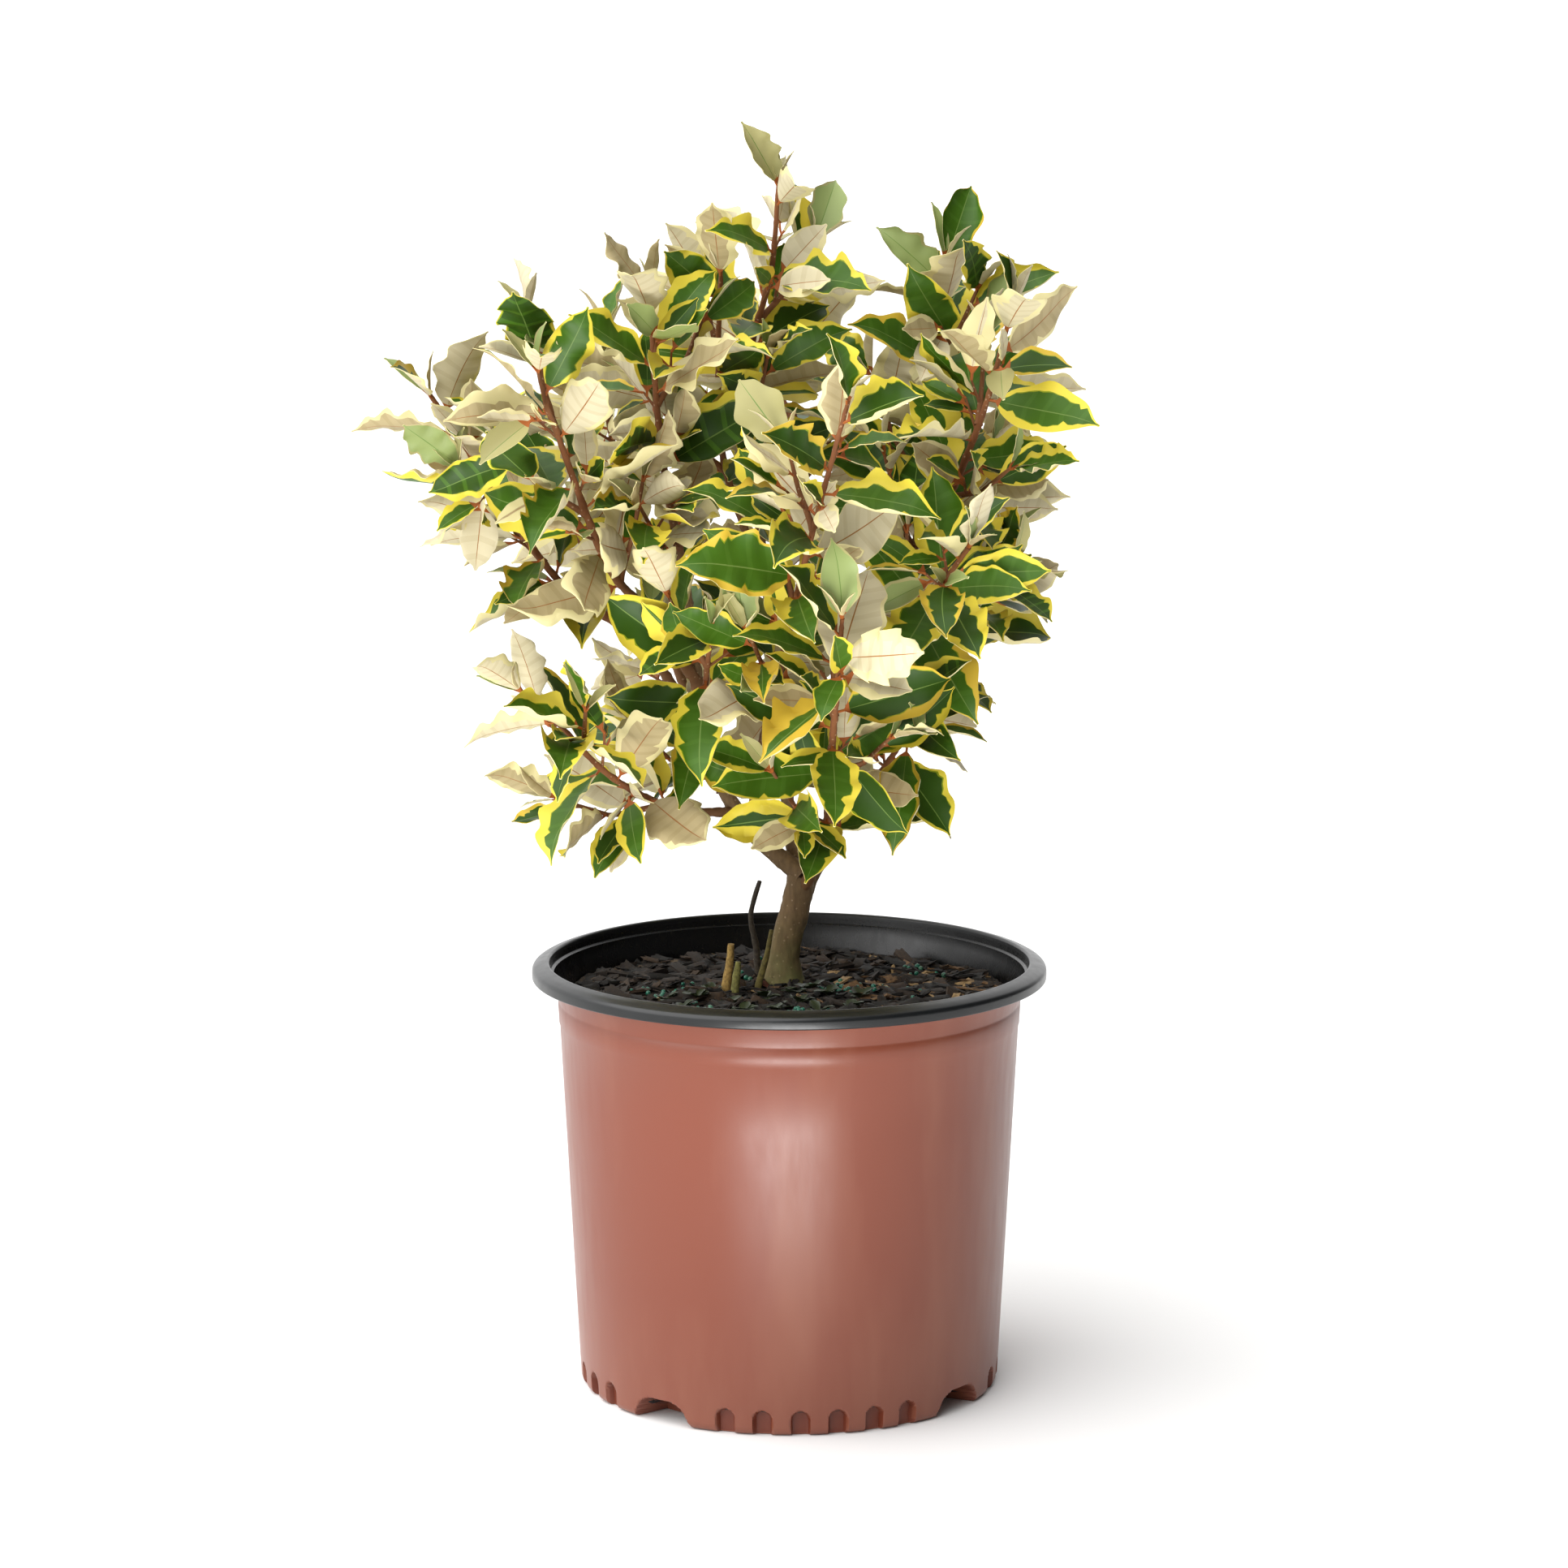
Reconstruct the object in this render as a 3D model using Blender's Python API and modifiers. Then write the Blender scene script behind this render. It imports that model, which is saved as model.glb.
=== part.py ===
"""Potted variegated elaeagnus: a nursery pot, its potting mix, a short trunk, boughs and masses of leaves."""

import math
import random

import bmesh
import bpy
import numpy as np
from mathutils import Matrix, Vector
from mathutils.bvhtree import BVHTree

# Sizes are in metres. +Z is up, -Y faces the viewer, and the origin is under the middle of the pot.
MM = 0.001
GAP = 0.3 * MM
FINE_MERGE = 0.001 * MM

# The pot, a 3 gallon (11.4 litre) nursery pot
POT_HEIGHT = 0.244
RIM_INNER = 0.136
RIM_OUTER = 0.146
BODY_TOP = 0.131
BODY_FOOT = 0.1195
WALL = 1.6 * MM
FLOOR = 3.0 * MM
FOOT_ROUND = 4.0 * MM
TURN_STEPS = 40

# The moulded foot: four lobes with flutes, and a scooped notch between each two lobes
NOTCH_FIRST = -37.0
NOTCH_WIDTH = 0.033
NOTCH_HEIGHT = 0.0135
NOTCH_DEPTH = 0.023
NOTCH_ROUND = 5.0 * MM
DRAIN_RADIUS = 4.5 * MM
FLUTES = 6
FLUTE_PITCH = 10.8
FLUTE_WIDTH = 9.5 * MM
FLUTE_HEIGHT = 13.0 * MM
FLUTE_DEPTH = 2.4 * MM
FLUTE_ARCH = 3
FOOT_WALL = 5.2 * MM

# The potting mix
MIX_LEVEL = 0.2255
MIX_LUMP = 2.6 * MM
MIX_FLAT = 0.048
MIX_RING = 0.020
MIX_SEED = 11
MIX_STEPS = 16

# The trunk's line from the mix to its fork, in millimetres, with its radius at each place
TRUNK = ((-4, 30, 226), (-2, 30, 246), (4, 28, 270), (7, 26, 288))
TRUNK_RADII = (9.4, 8.6, 8.2, 7.8)
ROOT_FLARE = 3.6
FLARE_HEIGHT = 16.0

# Each limb: its parent and how far up that it leaves, the places it passes and its tip (mm),
# its radius at the foot (mm), how far along its leaves begin, where the light on its leaves comes
# from (degrees from the viewer's side towards +X), and the seed of its twigs.
LIMBS = {
    "front_low": ("trunk", 0.80, ((20, 2, 308), (22, -46, 356), (25, -95, 404), (28, -132, 456)),
                  3.5, 0.20, 20, 55),
    "front_centre": ("left_stem", 0.10, ((-18, -6, 356), (-8, -40, 402), (0, -70, 443), (12, -108, 498),
                                         (31, -130, 572)), 3.0, 0.36, 20, 117),
    "front_left": ("left_stem", 0.22, ((-47, -8, 385), (-46, -44, 412), (-42, -84, 446)),
                   2.6, 0.30, -20, 155),
    "right_middle": ("right_stem", 0.36, ((70, 2, 436), (84, -48, 464), (97, -80, 488)), 2.6, 0.30, 30, 217),
    "left_upper": ("left_stem", 0.36, ((-78, -14, 443), (-99, -42, 472), (-119, -66, 528), (-133, -62, 572),
                                       (-143, -52, 612)), 3.3, 0.32, 120, 33),
    "left_low": ("left_stem", 0.14, ((-66, 4, 330), (-101, -30, 355), (-127, -50, 386), (-147, -60, 406)),
                 2.7, 0.24, 150, 56),
    "left_stem": ("trunk", 1.0, ((-22, 32, 312), (-41, 34, 345), (-51, 28, 390), (-59, 4, 462),
                                 (-68, -20, 515), (-74, -29, 572), (-76, -30, 622)), 5.2, 0.56, 30, 184),
    "left_outer": ("left_stem", 0.27, ((-85, 26, 422), (-122, 14, 450), (-146, 0, 482), (-168, -12, 518),
                                       (-198, -24, 566)), 3.2, 0.30, 150, 83),
    "right_stem": ("trunk", 0.66, ((24, 42, 308), (36, 49, 342), (53, 50, 391), (67, 42, 446),
                                   (95, 2, 520), (109, -18, 562), (122, -30, 614)), 4.9, 0.52, 20, 32),
    "leader": ("trunk", 0.86, ((0, 44, 318), (-8, 52, 400), (-14, 51, 462), (-21, 41, 520),
                               (-22, 30, 583), (-10, 18, 632), (-6, 2, 682)), 4.4, 0.47, 40, 119),
    "leader_side": ("leader", 0.42, ((-36, 30, 520), (-40, 20, 575), (-38, 8, 630)), 2.5, 0.34, 150, 32),
    "right_inner": ("right_stem", 0.47, ((74, 52, 486), (78, 56, 535), (85, 53, 590), (88, 50, 636)),
                    2.7, 0.30, 30, 152),
    "right_outer": ("right_stem", 0.30, ((84, 36, 415), (104, 24, 440), (118, 10, 476)), 2.5, 0.28, 60, 103),
    "right_low": ("right_stem", 0.14, ((50, 16, 346), (62, -20, 372), (70, -50, 400)), 2.5, 0.26, 30, 178),
    "back_left": ("left_stem", 0.18, ((-72, 72, 420), (-94, 104, 480), (-104, 118, 540), (-106, 120, 588)),
                  3.2, 0.34, 210, 33),
    "back_centre": ("leader", 0.22, ((-6, 92, 452), (0, 120, 512), (4, 134, 562), (4, 138, 606)),
                    3.0, 0.32, 180, 4),
    "back_right": ("right_stem", 0.40, ((86, 86, 462), (100, 112, 512), (106, 122, 560), (108, 124, 592)),
                   2.9, 0.28, 150, 41),
    "back_low_left": ("left_stem", 0.05, ((-46, 74, 342), (-66, 104, 374), (-78, 118, 414)),
                      2.6, 0.30, 210, 21),
    "back_low_right": ("right_stem", 0.07, ((46, 84, 344), (62, 108, 378), (70, 118, 418)),
                       2.6, 0.30, 150, 55),
}
TIP_RADIUS = 1.25
LIMB_TAPER = 0.8
LIMB_LINE_STEP = 0.010
TRUNK_LINE_STEP = 0.006
WOOD_TEST_STEP = 0.012
LIMB_STEP = 0.024
LIMB_SIDES = 5
OLD_WOOD_RADIUS = 4.0 * MM
STUB_SINK = 0.006
STUB_SIDES = 5

# Twigs and leaves of a mass
STEM_STEP = 0.028
STEM_GAP = 0.5 * MM
TWIG_SIDES = 3
REACH = 0.088
TWIG_FIRST = 0.08
TWIG_LAST = 0.62
TWIG_SPACING = 0.058
TWIG_LENGTH = 0.060
TWIG_LEAN = 42.0
TWIG_RADIUS = 1.7 * MM
TWIG_TEST_STEP = 0.003
TURN = 137.5
INTERNODE = 0.0140
LEAF_LENGTH = 0.063
TIP_LEAF_LENGTH = 0.045
LEAF_ASPECT = 0.50
LEAF_THICK = 1.3 * MM
LEAF_ROOT = 0.4 * MM
LEAF_TRIES = 10
LEAF_CLEAR = 0.9 * MM
LEAF_FLOOR = 0.03
BLADE_FROM = 12
FIRST_LEAF = 0.010
LIMB_CLEAR = 1.6 * MM
LIGHT_LEVEL = 0.62
TUFT = 3
TUFT_LEAN = 22.0
UP = Vector((0, 0, 1))

# How twigs vary: tries, sway of the lean and of the turn, the turn to the next try (degrees),
# the share of length that is lost towards the stem's tip, spread of length, and taper
TWIG_TRIES = 6
TWIG_SWAY = 8.0
TWIG_TURN_SWAY = 20.0
TWIG_NEXT_TURN = 60.0
TWIG_SHORTENS = 0.5
TWIG_SPREAD = (0.85, 1.15)
TWIG_CLEAR_FROM = 0.12
TWIG_TAPER = 0.4
TWIG_LEAF_SHARE = 0.3
TWIG_LEAF_SIZE = 0.92

# How leaves vary: sway of the lean, sag, roll (degrees), spread of length and width, droop and fold
LEAF_SWAY = 8.0
LEAF_SAG = 0.22
LEAF_ROLL = 30.0
FACES_TIP = 0.7
LENGTH_SPREAD = (0.86, 1.14)
WIDTH_SPREAD = (0.85, 1.12)
DROOPS = (-0.02, 0.22)
FOLDS = (0.10, 0.38)

# The tuft at a tip, and how leaves grow and lean with their distance from it
TUFT_SHARE = 0.985
TUFT_GROWS = 0.12
TUFT_FIRST_TURN = 60.0
TUFT_SWAY = 30.0
TUFT_NEXT_TURN = 25.0
NODE_SWAY = 22.0
NODE_NEXT_SWAY = 0.6
FULL_SIZE_AT = 0.045
TIP_LEAN = 34.0
MORE_LEAN = 32.0
FULL_LEAN_AT = 0.06

# The dead twig and the cut stubs that stand in the mix: places (mm) and radius (mm)
DEAD_TWIG = (((-18, 40, 226), (-19, 38, 243), (-22, 34, 262), (-17, 31, 283)), 1.9)
STUBS = {
    "stub_tall": (((-36, 4, 226), (-34, 3, 240), (-33, 2, 252)), 2.7),
    "stub_green": (((-31, -4, 226), (-30, -4, 234), (-29, -4, 243)), 2.4),
    "stub_olive": (((-18, 8, 226), (-13, 12, 243), (-10, 14, 258)), 1.9),
}

# The outline of a leaf: share of its length and half width as a share of its width
LEAF_SIDES = ((0.36, 0.47), (0.71, 0.41))
LEAF_FACES = (
    (0, 2, 7), (2, 4, 7), (4, 6, 7), (6, 5, 7), (5, 3, 7), (3, 0, 7),
    (1, 8, 2), (2, 8, 4), (4, 8, 6), (6, 8, 5), (5, 8, 3), (3, 8, 1),
    (0, 1, 2), (0, 3, 1),
)


# Scene helpers

def clear_scene():
    for obj in list(bpy.data.objects):
        bpy.data.objects.remove(obj)


def new_collection(name):
    collection = bpy.data.collections.new(name)
    bpy.context.scene.collection.children.link(collection)
    return collection


def add_object(name, data, collection):
    obj = bpy.data.objects.new(name, data)
    collection.objects.link(obj)
    return obj


def material(name, colour, roughness, metallic=0.0):
    made = bpy.data.materials.new(name)
    made.use_nodes = True
    shader = made.node_tree.nodes["Principled BSDF"]
    shader.inputs["Base Color"].default_value = (*colour, 1.0)
    shader.inputs["Roughness"].default_value = roughness
    shader.inputs["Metallic"].default_value = metallic
    return made


def frozen(obj, merge=0.00001):
    """The object's evaluated shape as a plain mesh object in its place, with doubles merged."""
    bpy.context.view_layer.update()
    graph = bpy.context.evaluated_depsgraph_get()
    mesh = bpy.data.meshes.new_from_object(obj.evaluated_get(graph))
    shape = bmesh.new()
    shape.from_mesh(mesh)
    bmesh.ops.remove_doubles(shape, verts=shape.verts, dist=merge)
    shape.to_mesh(mesh)
    shape.free()
    name = obj.name
    place = obj.matrix_world.copy()
    home = obj.users_collection[0]
    bpy.data.objects.remove(obj)
    made = add_object(name, mesh, home)
    made.matrix_world = place
    return made


def boolean(obj, cutter, operation, solver="EXACT"):
    cut = obj.modifiers.new(operation.title(), "BOOLEAN")
    cut.operation = operation
    cut.solver = solver
    if isinstance(cutter, bpy.types.Collection):
        cut.operand_type = "COLLECTION"
        cut.collection = cutter
    else:
        cut.object = cutter


def drop(objects):
    for obj in objects:
        bpy.data.objects.remove(obj)


def finish(obj, look, smooth_angle=40.0):
    obj.data.materials.clear()
    obj.data.materials.append(look)
    obj.data.shade_smooth()
    obj.data.set_sharp_from_angle(angle=math.radians(smooth_angle))


# Lines and tubes

def smooth_line(places, step):
    """Points about one step apart on a smooth curve through the places."""
    places = [Vector(place) for place in places]
    ends = [2 * places[0] - places[1]] + places + [2 * places[-1] - places[-2]]
    line = [places[0]]
    for a, b, c, d in zip(ends, ends[1:], ends[2:], ends[3:]):
        count = max(1, round((c - b).length / step))
        for i in range(1, count + 1):
            t = i / count
            line.append(0.5 * (2 * b + (c - a) * t + (2 * a - 5 * b + 4 * c - d) * t * t
                               + (3 * b - a - 3 * c + d) * t ** 3))
    return line


def lengths_along(line):
    total = [0.0]
    for a, b in zip(line, line[1:]):
        total.append(total[-1] + (b - a).length)
    return total


def place_at(line, share):
    """The point and the direction at a share of the line's length."""
    total = lengths_along(line)
    wanted = min(max(share, 0.0), 1.0) * total[-1]
    for i in range(len(line) - 1):
        if total[i + 1] >= wanted - 1e-12:
            break
    part = (wanted - total[i]) / max(total[i + 1] - total[i], 1e-9)
    before = (line[i] - line[max(i - 1, 0)]) if i else (line[1] - line[0])
    here = line[i + 1] - line[i]
    direction = before.normalized() * (1 - part) + here.normalized()
    return line[i].lerp(line[i + 1], part), direction.normalized()


def stretch_of(line, start, end, step):
    """The line between two shares, as points about one step apart."""
    length = lengths_along(line)[-1] * (end - start)
    count = max(2, round(length / step))
    return [place_at(line, start + (end - start) * i / count)[0] for i in range(count + 1)]


def ring_profile(sides, collection):
    curve = bpy.data.curves.new("ring", "CURVE")
    curve.dimensions = "2D"
    spline = curve.splines.new("POLY")
    spline.points.add(sides - 1)
    spline.use_cyclic_u = True
    for i, point in enumerate(spline.points):
        turn = 2 * math.pi * i / sides
        point.co = (math.cos(turn), math.sin(turn), 0, 1)
    ring = add_object("ring", curve, collection)
    ring.hide_render = True
    return ring


def tube(name, line, radii, sides, collection):
    """A tapering limb: a poly curve with a radius at each point, swept with a ring and made a mesh."""
    ring = ring_profile(sides, collection)
    curve = bpy.data.curves.new(name, "CURVE")
    curve.dimensions = "3D"
    curve.bevel_mode = "OBJECT"
    curve.bevel_object = ring
    curve.use_fill_caps = True
    spline = curve.splines.new("POLY")
    spline.points.add(len(line) - 1)
    for point, place, radius in zip(spline.points, line, radii):
        point.co = (*place, 1)
        point.radius = radius
    made = frozen(add_object(name, curve, collection))
    drop([ring])
    outward(made.data)
    return made


def outward(mesh):
    shape = bmesh.new()
    shape.from_mesh(mesh)
    bmesh.ops.recalc_face_normals(shape, faces=shape.faces)
    shape.to_mesh(mesh)
    shape.free()


# The pot

def turned(name, profile, steps, collection):
    """A profile of (radius, height) from top to bottom, turned round Z with a Screw."""
    mesh = bpy.data.meshes.new(name)
    edges = [(i, i + 1) for i in range(len(profile) - 1)]
    mesh.from_pydata([(radius, 0, height) for radius, height in profile], edges, [])
    obj = add_object(name, mesh, collection)
    screw = obj.modifiers.new("Turn", "SCREW")
    screw.steps = steps
    screw.render_steps = steps
    screw.use_merge_vertices = True
    screw.merge_threshold = 0.00001
    screw.use_smooth_shade = True
    return frozen(obj)


def body_radius(height):
    """The outer radius of the pot's wall, which narrows towards the foot."""
    return BODY_FOOT + (BODY_TOP - BODY_FOOT) * height / (POT_HEIGHT - 0.022)


def rim_profile():
    """The rolled rim from its inner top edge over its crest to the wall under it."""
    middle = (RIM_INNER + RIM_OUTER) / 2
    return [
        (RIM_INNER + 0.8 * MM, POT_HEIGHT - 0.8 * MM),
        (RIM_INNER + 2.6 * MM, POT_HEIGHT),
        (middle, POT_HEIGHT - 0.4 * MM),
        (RIM_OUTER - 2.0 * MM, POT_HEIGHT - 3.2 * MM),
        (RIM_OUTER, POT_HEIGHT - 8.2 * MM),
        (RIM_OUTER - 1.0 * MM, POT_HEIGHT - 9.6 * MM),
        (BODY_TOP + 2.8 * MM, POT_HEIGHT - 11.0 * MM),
        (BODY_TOP + 0.8 * MM, POT_HEIGHT - 17.0 * MM),
    ]


def outer_profile():
    wall = [(body_radius(height), height) for height in (POT_HEIGHT - 0.022, 0.030)]
    foot = [
        (body_radius(0.018), 0.018),
        (body_radius(FOOT_ROUND), FOOT_ROUND),
        (body_radius(0) - 0.3 * FOOT_ROUND, 0.3 * FOOT_ROUND),
        (body_radius(0) - FOOT_ROUND, 0),
        (0, 0),
    ]
    return [(0, POT_HEIGHT - 0.8 * MM)] + rim_profile() + wall + foot


def cavity_profile(inset, top):
    """The pot's inside, drawn in by inset all round: straight wall, then a thicker foot."""
    return [
        (0, top),
        (RIM_INNER - inset, top),
        (RIM_INNER - 0.3 * MM - inset, POT_HEIGHT - 3.0 * MM),
        (BODY_TOP + 2.4 * MM - WALL - inset, POT_HEIGHT - 12.5 * MM),
        (BODY_TOP - WALL - inset, POT_HEIGHT - 0.022),
        (body_radius(0.030) - WALL - inset, 0.030),
        (body_radius(0.019) - FOOT_WALL - inset, 0.019),
        (body_radius(0.008) - FOOT_WALL - inset, FLOOR + 3.0 * MM),
        (body_radius(0.004) - FOOT_WALL - 3.0 * MM - inset, FLOOR + inset),
        (0, FLOOR + inset),
    ]


def round_box(name, size, bevel, collection):
    """A box with rounded edges, centred on its own origin."""
    shape = bmesh.new()
    bmesh.ops.create_cube(shape, size=1.0, matrix=Matrix.Diagonal((*size, 1.0)))
    edges = shape.edges[:]
    bmesh.ops.bevel(shape, geom=edges, offset=bevel, affect="EDGES", segments=1, profile=0.5, material=-1)
    mesh = bpy.data.meshes.new(name)
    shape.to_mesh(mesh)
    shape.free()
    return add_object(name, mesh, collection)


def notch_shape(name, turn, more, collection):
    """The scoop between two lobes, larger by more on every side. Angles start at the viewer, towards +X."""
    inner = body_radius(0) - NOTCH_DEPTH - more
    outer = BODY_TOP + 0.02
    height = NOTCH_HEIGHT + more
    low = 0.02
    size = (NOTCH_WIDTH + 2 * more, outer - inner, height + low)
    box = round_box(name, size, NOTCH_ROUND, collection)
    middle = Vector((0, -(inner + outer) / 2, (height - low) / 2))
    box.matrix_world = Matrix.Rotation(math.radians(turn), 4, "Z") @ Matrix.Translation(middle)
    return box


def flute_shape(name, turn, collection):
    """A shallow recess with an arched top, open at the bottom, in the outside of a lobe."""
    half = FLUTE_WIDTH / 2
    outline = [(half, -0.01), (half, FLUTE_HEIGHT - half)]
    for i in range(1, FLUTE_ARCH):
        bend = math.pi * i / FLUTE_ARCH
        outline.append((half * math.cos(bend), FLUTE_HEIGHT - half + half * math.sin(bend)))
    outline += [(-half, FLUTE_HEIGHT - half), (-half, -0.01)]
    shape = bmesh.new()
    outer = BODY_TOP + 0.01
    corners = [shape.verts.new((x, -outer, z)) for x, z in outline]
    face = shape.faces.new(corners)
    pushed = bmesh.ops.extrude_face_region(shape, geom=[face])
    moved = [item for item in pushed["geom"] if isinstance(item, bmesh.types.BMVert)]
    depth = outer - (body_radius(0) - FLUTE_DEPTH)
    bmesh.ops.translate(shape, vec=(0, depth, 0), verts=moved)
    bmesh.ops.recalc_face_normals(shape, faces=shape.faces)
    mesh = bpy.data.meshes.new(name)
    shape.to_mesh(mesh)
    shape.free()
    flute = add_object(name, mesh, collection)
    flute.matrix_world = Matrix.Rotation(math.radians(turn), 4, "Z")
    return flute


def drain_shape(name, turn, collection):
    """The round drain hole from a notch into the pot."""
    shape = bmesh.new()
    size = {"radius1": DRAIN_RADIUS, "radius2": DRAIN_RADIUS, "depth": 0.02}
    bmesh.ops.create_cone(shape, cap_ends=True, segments=12, **size)
    mesh = bpy.data.meshes.new(name)
    shape.to_mesh(mesh)
    shape.free()
    hole = add_object(name, mesh, collection)
    place = Vector((0, -(body_radius(0) - NOTCH_DEPTH), NOTCH_HEIGHT * 0.55))
    turned_in = Matrix.Rotation(math.radians(turn), 4, "Z") @ Matrix.Translation(place)
    hole.matrix_world = turned_in @ Matrix.Rotation(math.radians(90), 4, "X")
    return hole


def notch_turns():
    return [NOTCH_FIRST + 90 * i for i in range(4)]


def flute_turns():
    middles = [turn + 45 for turn in notch_turns()]
    return [middle + FLUTE_PITCH * (i - (FLUTES - 1) / 2) for middle in middles for i in range(FLUTES)]


def make_pot(parts, cutters):
    pot = turned("pot", outer_profile(), TURN_STEPS, parts)
    cavity = turned("cavity", cavity_profile(0, POT_HEIGHT + 0.02), TURN_STEPS, cutters)
    scoops = [notch_shape("scoop", turn, WALL, cutters) for turn in notch_turns()]
    for scoop in scoops:
        boolean(cavity, scoop, "DIFFERENCE")
    cavity = frozen(cavity)
    drop(scoops)
    cuts = [cavity]
    cuts += [notch_shape("notch", turn, 0, cutters) for turn in notch_turns()]
    cuts += [flute_shape("flute", turn, cutters) for turn in flute_turns()]
    cuts += [drain_shape("drain", turn, cutters) for turn in notch_turns()]
    for cut in cuts:
        boolean(pot, cut, "DIFFERENCE")
    pot = frozen(pot)
    drop(cuts)
    finish(pot, material("terracotta_plastic", (0.33, 0.115, 0.075), 0.34))
    return pot


# The potting mix

def mix_profile():
    wall = [place for place in cavity_profile(2 * GAP, MIX_LEVEL) if place[1] < MIX_LEVEL - 4 * MM]
    rings = [(0, MIX_LEVEL)] + [(MIX_FLAT + MIX_RING * i, MIX_LEVEL) for i in range(4)]
    return rings + [(BODY_TOP - WALL - 2 * GAP, MIX_LEVEL - 1.0 * MM)] + wall


def make_mix(parts, cutters):
    mix = turned("potting_mix", mix_profile(), MIX_STEPS, parts)
    chance = random.Random(MIX_SEED)
    for vert in mix.data.vertices:
        radius = math.hypot(vert.co.x, vert.co.y)
        if vert.co.z > MIX_LEVEL - 0.5 * MM and radius > MIX_FLAT + MIX_RING / 2:
            vert.co.z += chance.uniform(-MIX_LUMP, MIX_LUMP)
    scoops = [notch_shape("scoop", turn, WALL + GAP, cutters) for turn in notch_turns()]
    for scoop in scoops:
        boolean(mix, scoop, "DIFFERENCE")
    mix = frozen(mix)
    drop(scoops)
    finish(mix, material("bark_mix", (0.035, 0.022, 0.014), 0.95))
    return mix


# The limbs

def limb_lines():
    """Each limb's smooth line and the radius along it, from the foot to the tip."""
    lines = {"trunk": smooth_line([Vector(place) * MM for place in TRUNK], TRUNK_LINE_STEP)}
    for name in by_parent():
        parent, share, places = LIMBS[name][:3]
        foot = place_at(lines[parent], share)[0]
        lines[name] = smooth_line([foot] + [Vector(place) * MM for place in places], LIMB_LINE_STEP)
    return lines


def by_parent():
    """The limbs' names, each after its parent."""
    names = [name for name in LIMBS if LIMBS[name][0] == "trunk"]
    return names + [name for name in LIMBS if name not in names]


def trunk_radius(height):
    low = (height / MM - TRUNK[0][2]) / FLARE_HEIGHT
    flare = ROOT_FLARE * max(0.0, 1.0 - low) ** 2
    up = np.interp(height / MM, [place[2] for place in TRUNK], TRUNK_RADII)
    return (up + flare) * MM


def limb_radius(name, share):
    foot = LIMBS[name][3] * MM
    tip = TIP_RADIUS * MM
    return foot + (tip - foot) * share ** LIMB_TAPER


def limb_tube(name, lines, more, collection):
    """The bare stretch of a limb, thicker by more, as a tube that starts inside its parent."""
    if name == "trunk":
        line = [lines["trunk"][0] - UP * 0.01] + lines["trunk"]
        radii = [trunk_radius(place.z) + more for place in line]
        return tube(name, line, radii, LIMB_SIDES + 2, collection)
    bare = LIMBS[name][4]
    line = stretch_of(lines[name], 0.0, bare, LIMB_STEP)
    radii = [limb_radius(name, bare * i / (len(line) - 1)) + more for i in range(len(line))]
    return tube(name, line, radii, LIMB_SIDES, collection)


def cut_flat(obj, height):
    """Cuts off what lies below a height and closes the cut."""
    shape = bmesh.new()
    shape.from_mesh(obj.data)
    everything = shape.verts[:] + shape.edges[:] + shape.faces[:]
    plane = {"plane_co": (0, 0, height), "plane_no": (0, 0, 1)}
    cut = bmesh.ops.bisect_plane(shape, geom=everything, clear_inner=True, **plane)
    rim = [item for item in cut["geom_cut"] if isinstance(item, bmesh.types.BMEdge)]
    bmesh.ops.holes_fill(shape, edges=rim, sides=0)
    bmesh.ops.recalc_face_normals(shape, faces=shape.faces)
    shape.to_mesh(obj.data)
    shape.free()


def make_limbs(lines, parts, cutters):
    wood = material("grey_brown_bark", (0.16, 0.115, 0.075), 0.85)
    young = material("orange_brown_bark", (0.27, 0.11, 0.045), 0.7)
    trunk = limb_tube("trunk", lines, 0.0, parts)
    cut_flat(trunk, MIX_LEVEL + GAP)
    finish(trunk, wood)
    made = ["trunk"]
    for name in by_parent():
        limb = limb_tube(name, lines, 0.0, parts)
        thick = [limb_tube(other, lines, 1.2 * GAP, cutters) for other in made]
        for other in thick:
            boolean(limb, other, "DIFFERENCE", "MANIFOLD")
        limb = frozen(limb)
        drop(thick)
        keep_largest(limb.data)
        finish(limb, wood if limb_radius(name, 0) > OLD_WOOD_RADIUS else young)
        made.append(name)


def keep_largest(mesh):
    """Drops the loose scraps that a cut leaves, keeping the longest piece."""
    shape = bmesh.new()
    shape.from_mesh(mesh)
    left = set(shape.verts)
    pieces = []
    while left:
        piece = {left.pop()}
        edge = set(piece)
        while edge:
            edge = {end for vert in edge for link in vert.link_edges for end in link.verts} - piece
            piece |= edge
        left -= piece
        pieces.append(piece)
    pieces.sort(key=lambda piece: max((a.co - b.co).length for a in list(piece)[:8] for b in piece))
    scraps = [vert for piece in pieces[:-1] for vert in piece]
    bmesh.ops.delete(shape, geom=scraps, context="VERTS")
    shape.to_mesh(mesh)
    shape.free()


# The rule of growth: twigs and leaves

def across(direction, turn):
    """The unit vector square to a direction, turned round it by an angle in degrees."""
    side = direction.cross(Vector((0.31, 0.95, 0.02))).normalized()
    return Matrix.Rotation(math.radians(turn), 3, direction) @ side


def leaf_corners(leaf, more=0.0):
    """The corners of a leaf, larger by more: root edge, sides, tip, and the top and bottom of its middle."""
    root, along, face, length, width, droop, fold = leaf
    side = along.cross(face).normalized()
    corners = [root + face * LEAF_ROOT, root - face * LEAF_ROOT]
    for share, half in LEAF_SIDES:
        middle = root + along * length * share - face * droop * length * share ** 2
        rise = face * fold * width * half
        for way in (-1, 1):
            corners.append(middle + side * way * (width * half + more) + rise)
    corners.append(root + along * (length + more) - face * droop * length)
    middle = root + along * length * 0.5 - face * droop * length * 0.25
    corners.append(middle + face * (LEAF_THICK / 2 + more))
    corners.append(middle - face * (LEAF_THICK / 2 + more))
    return corners


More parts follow.
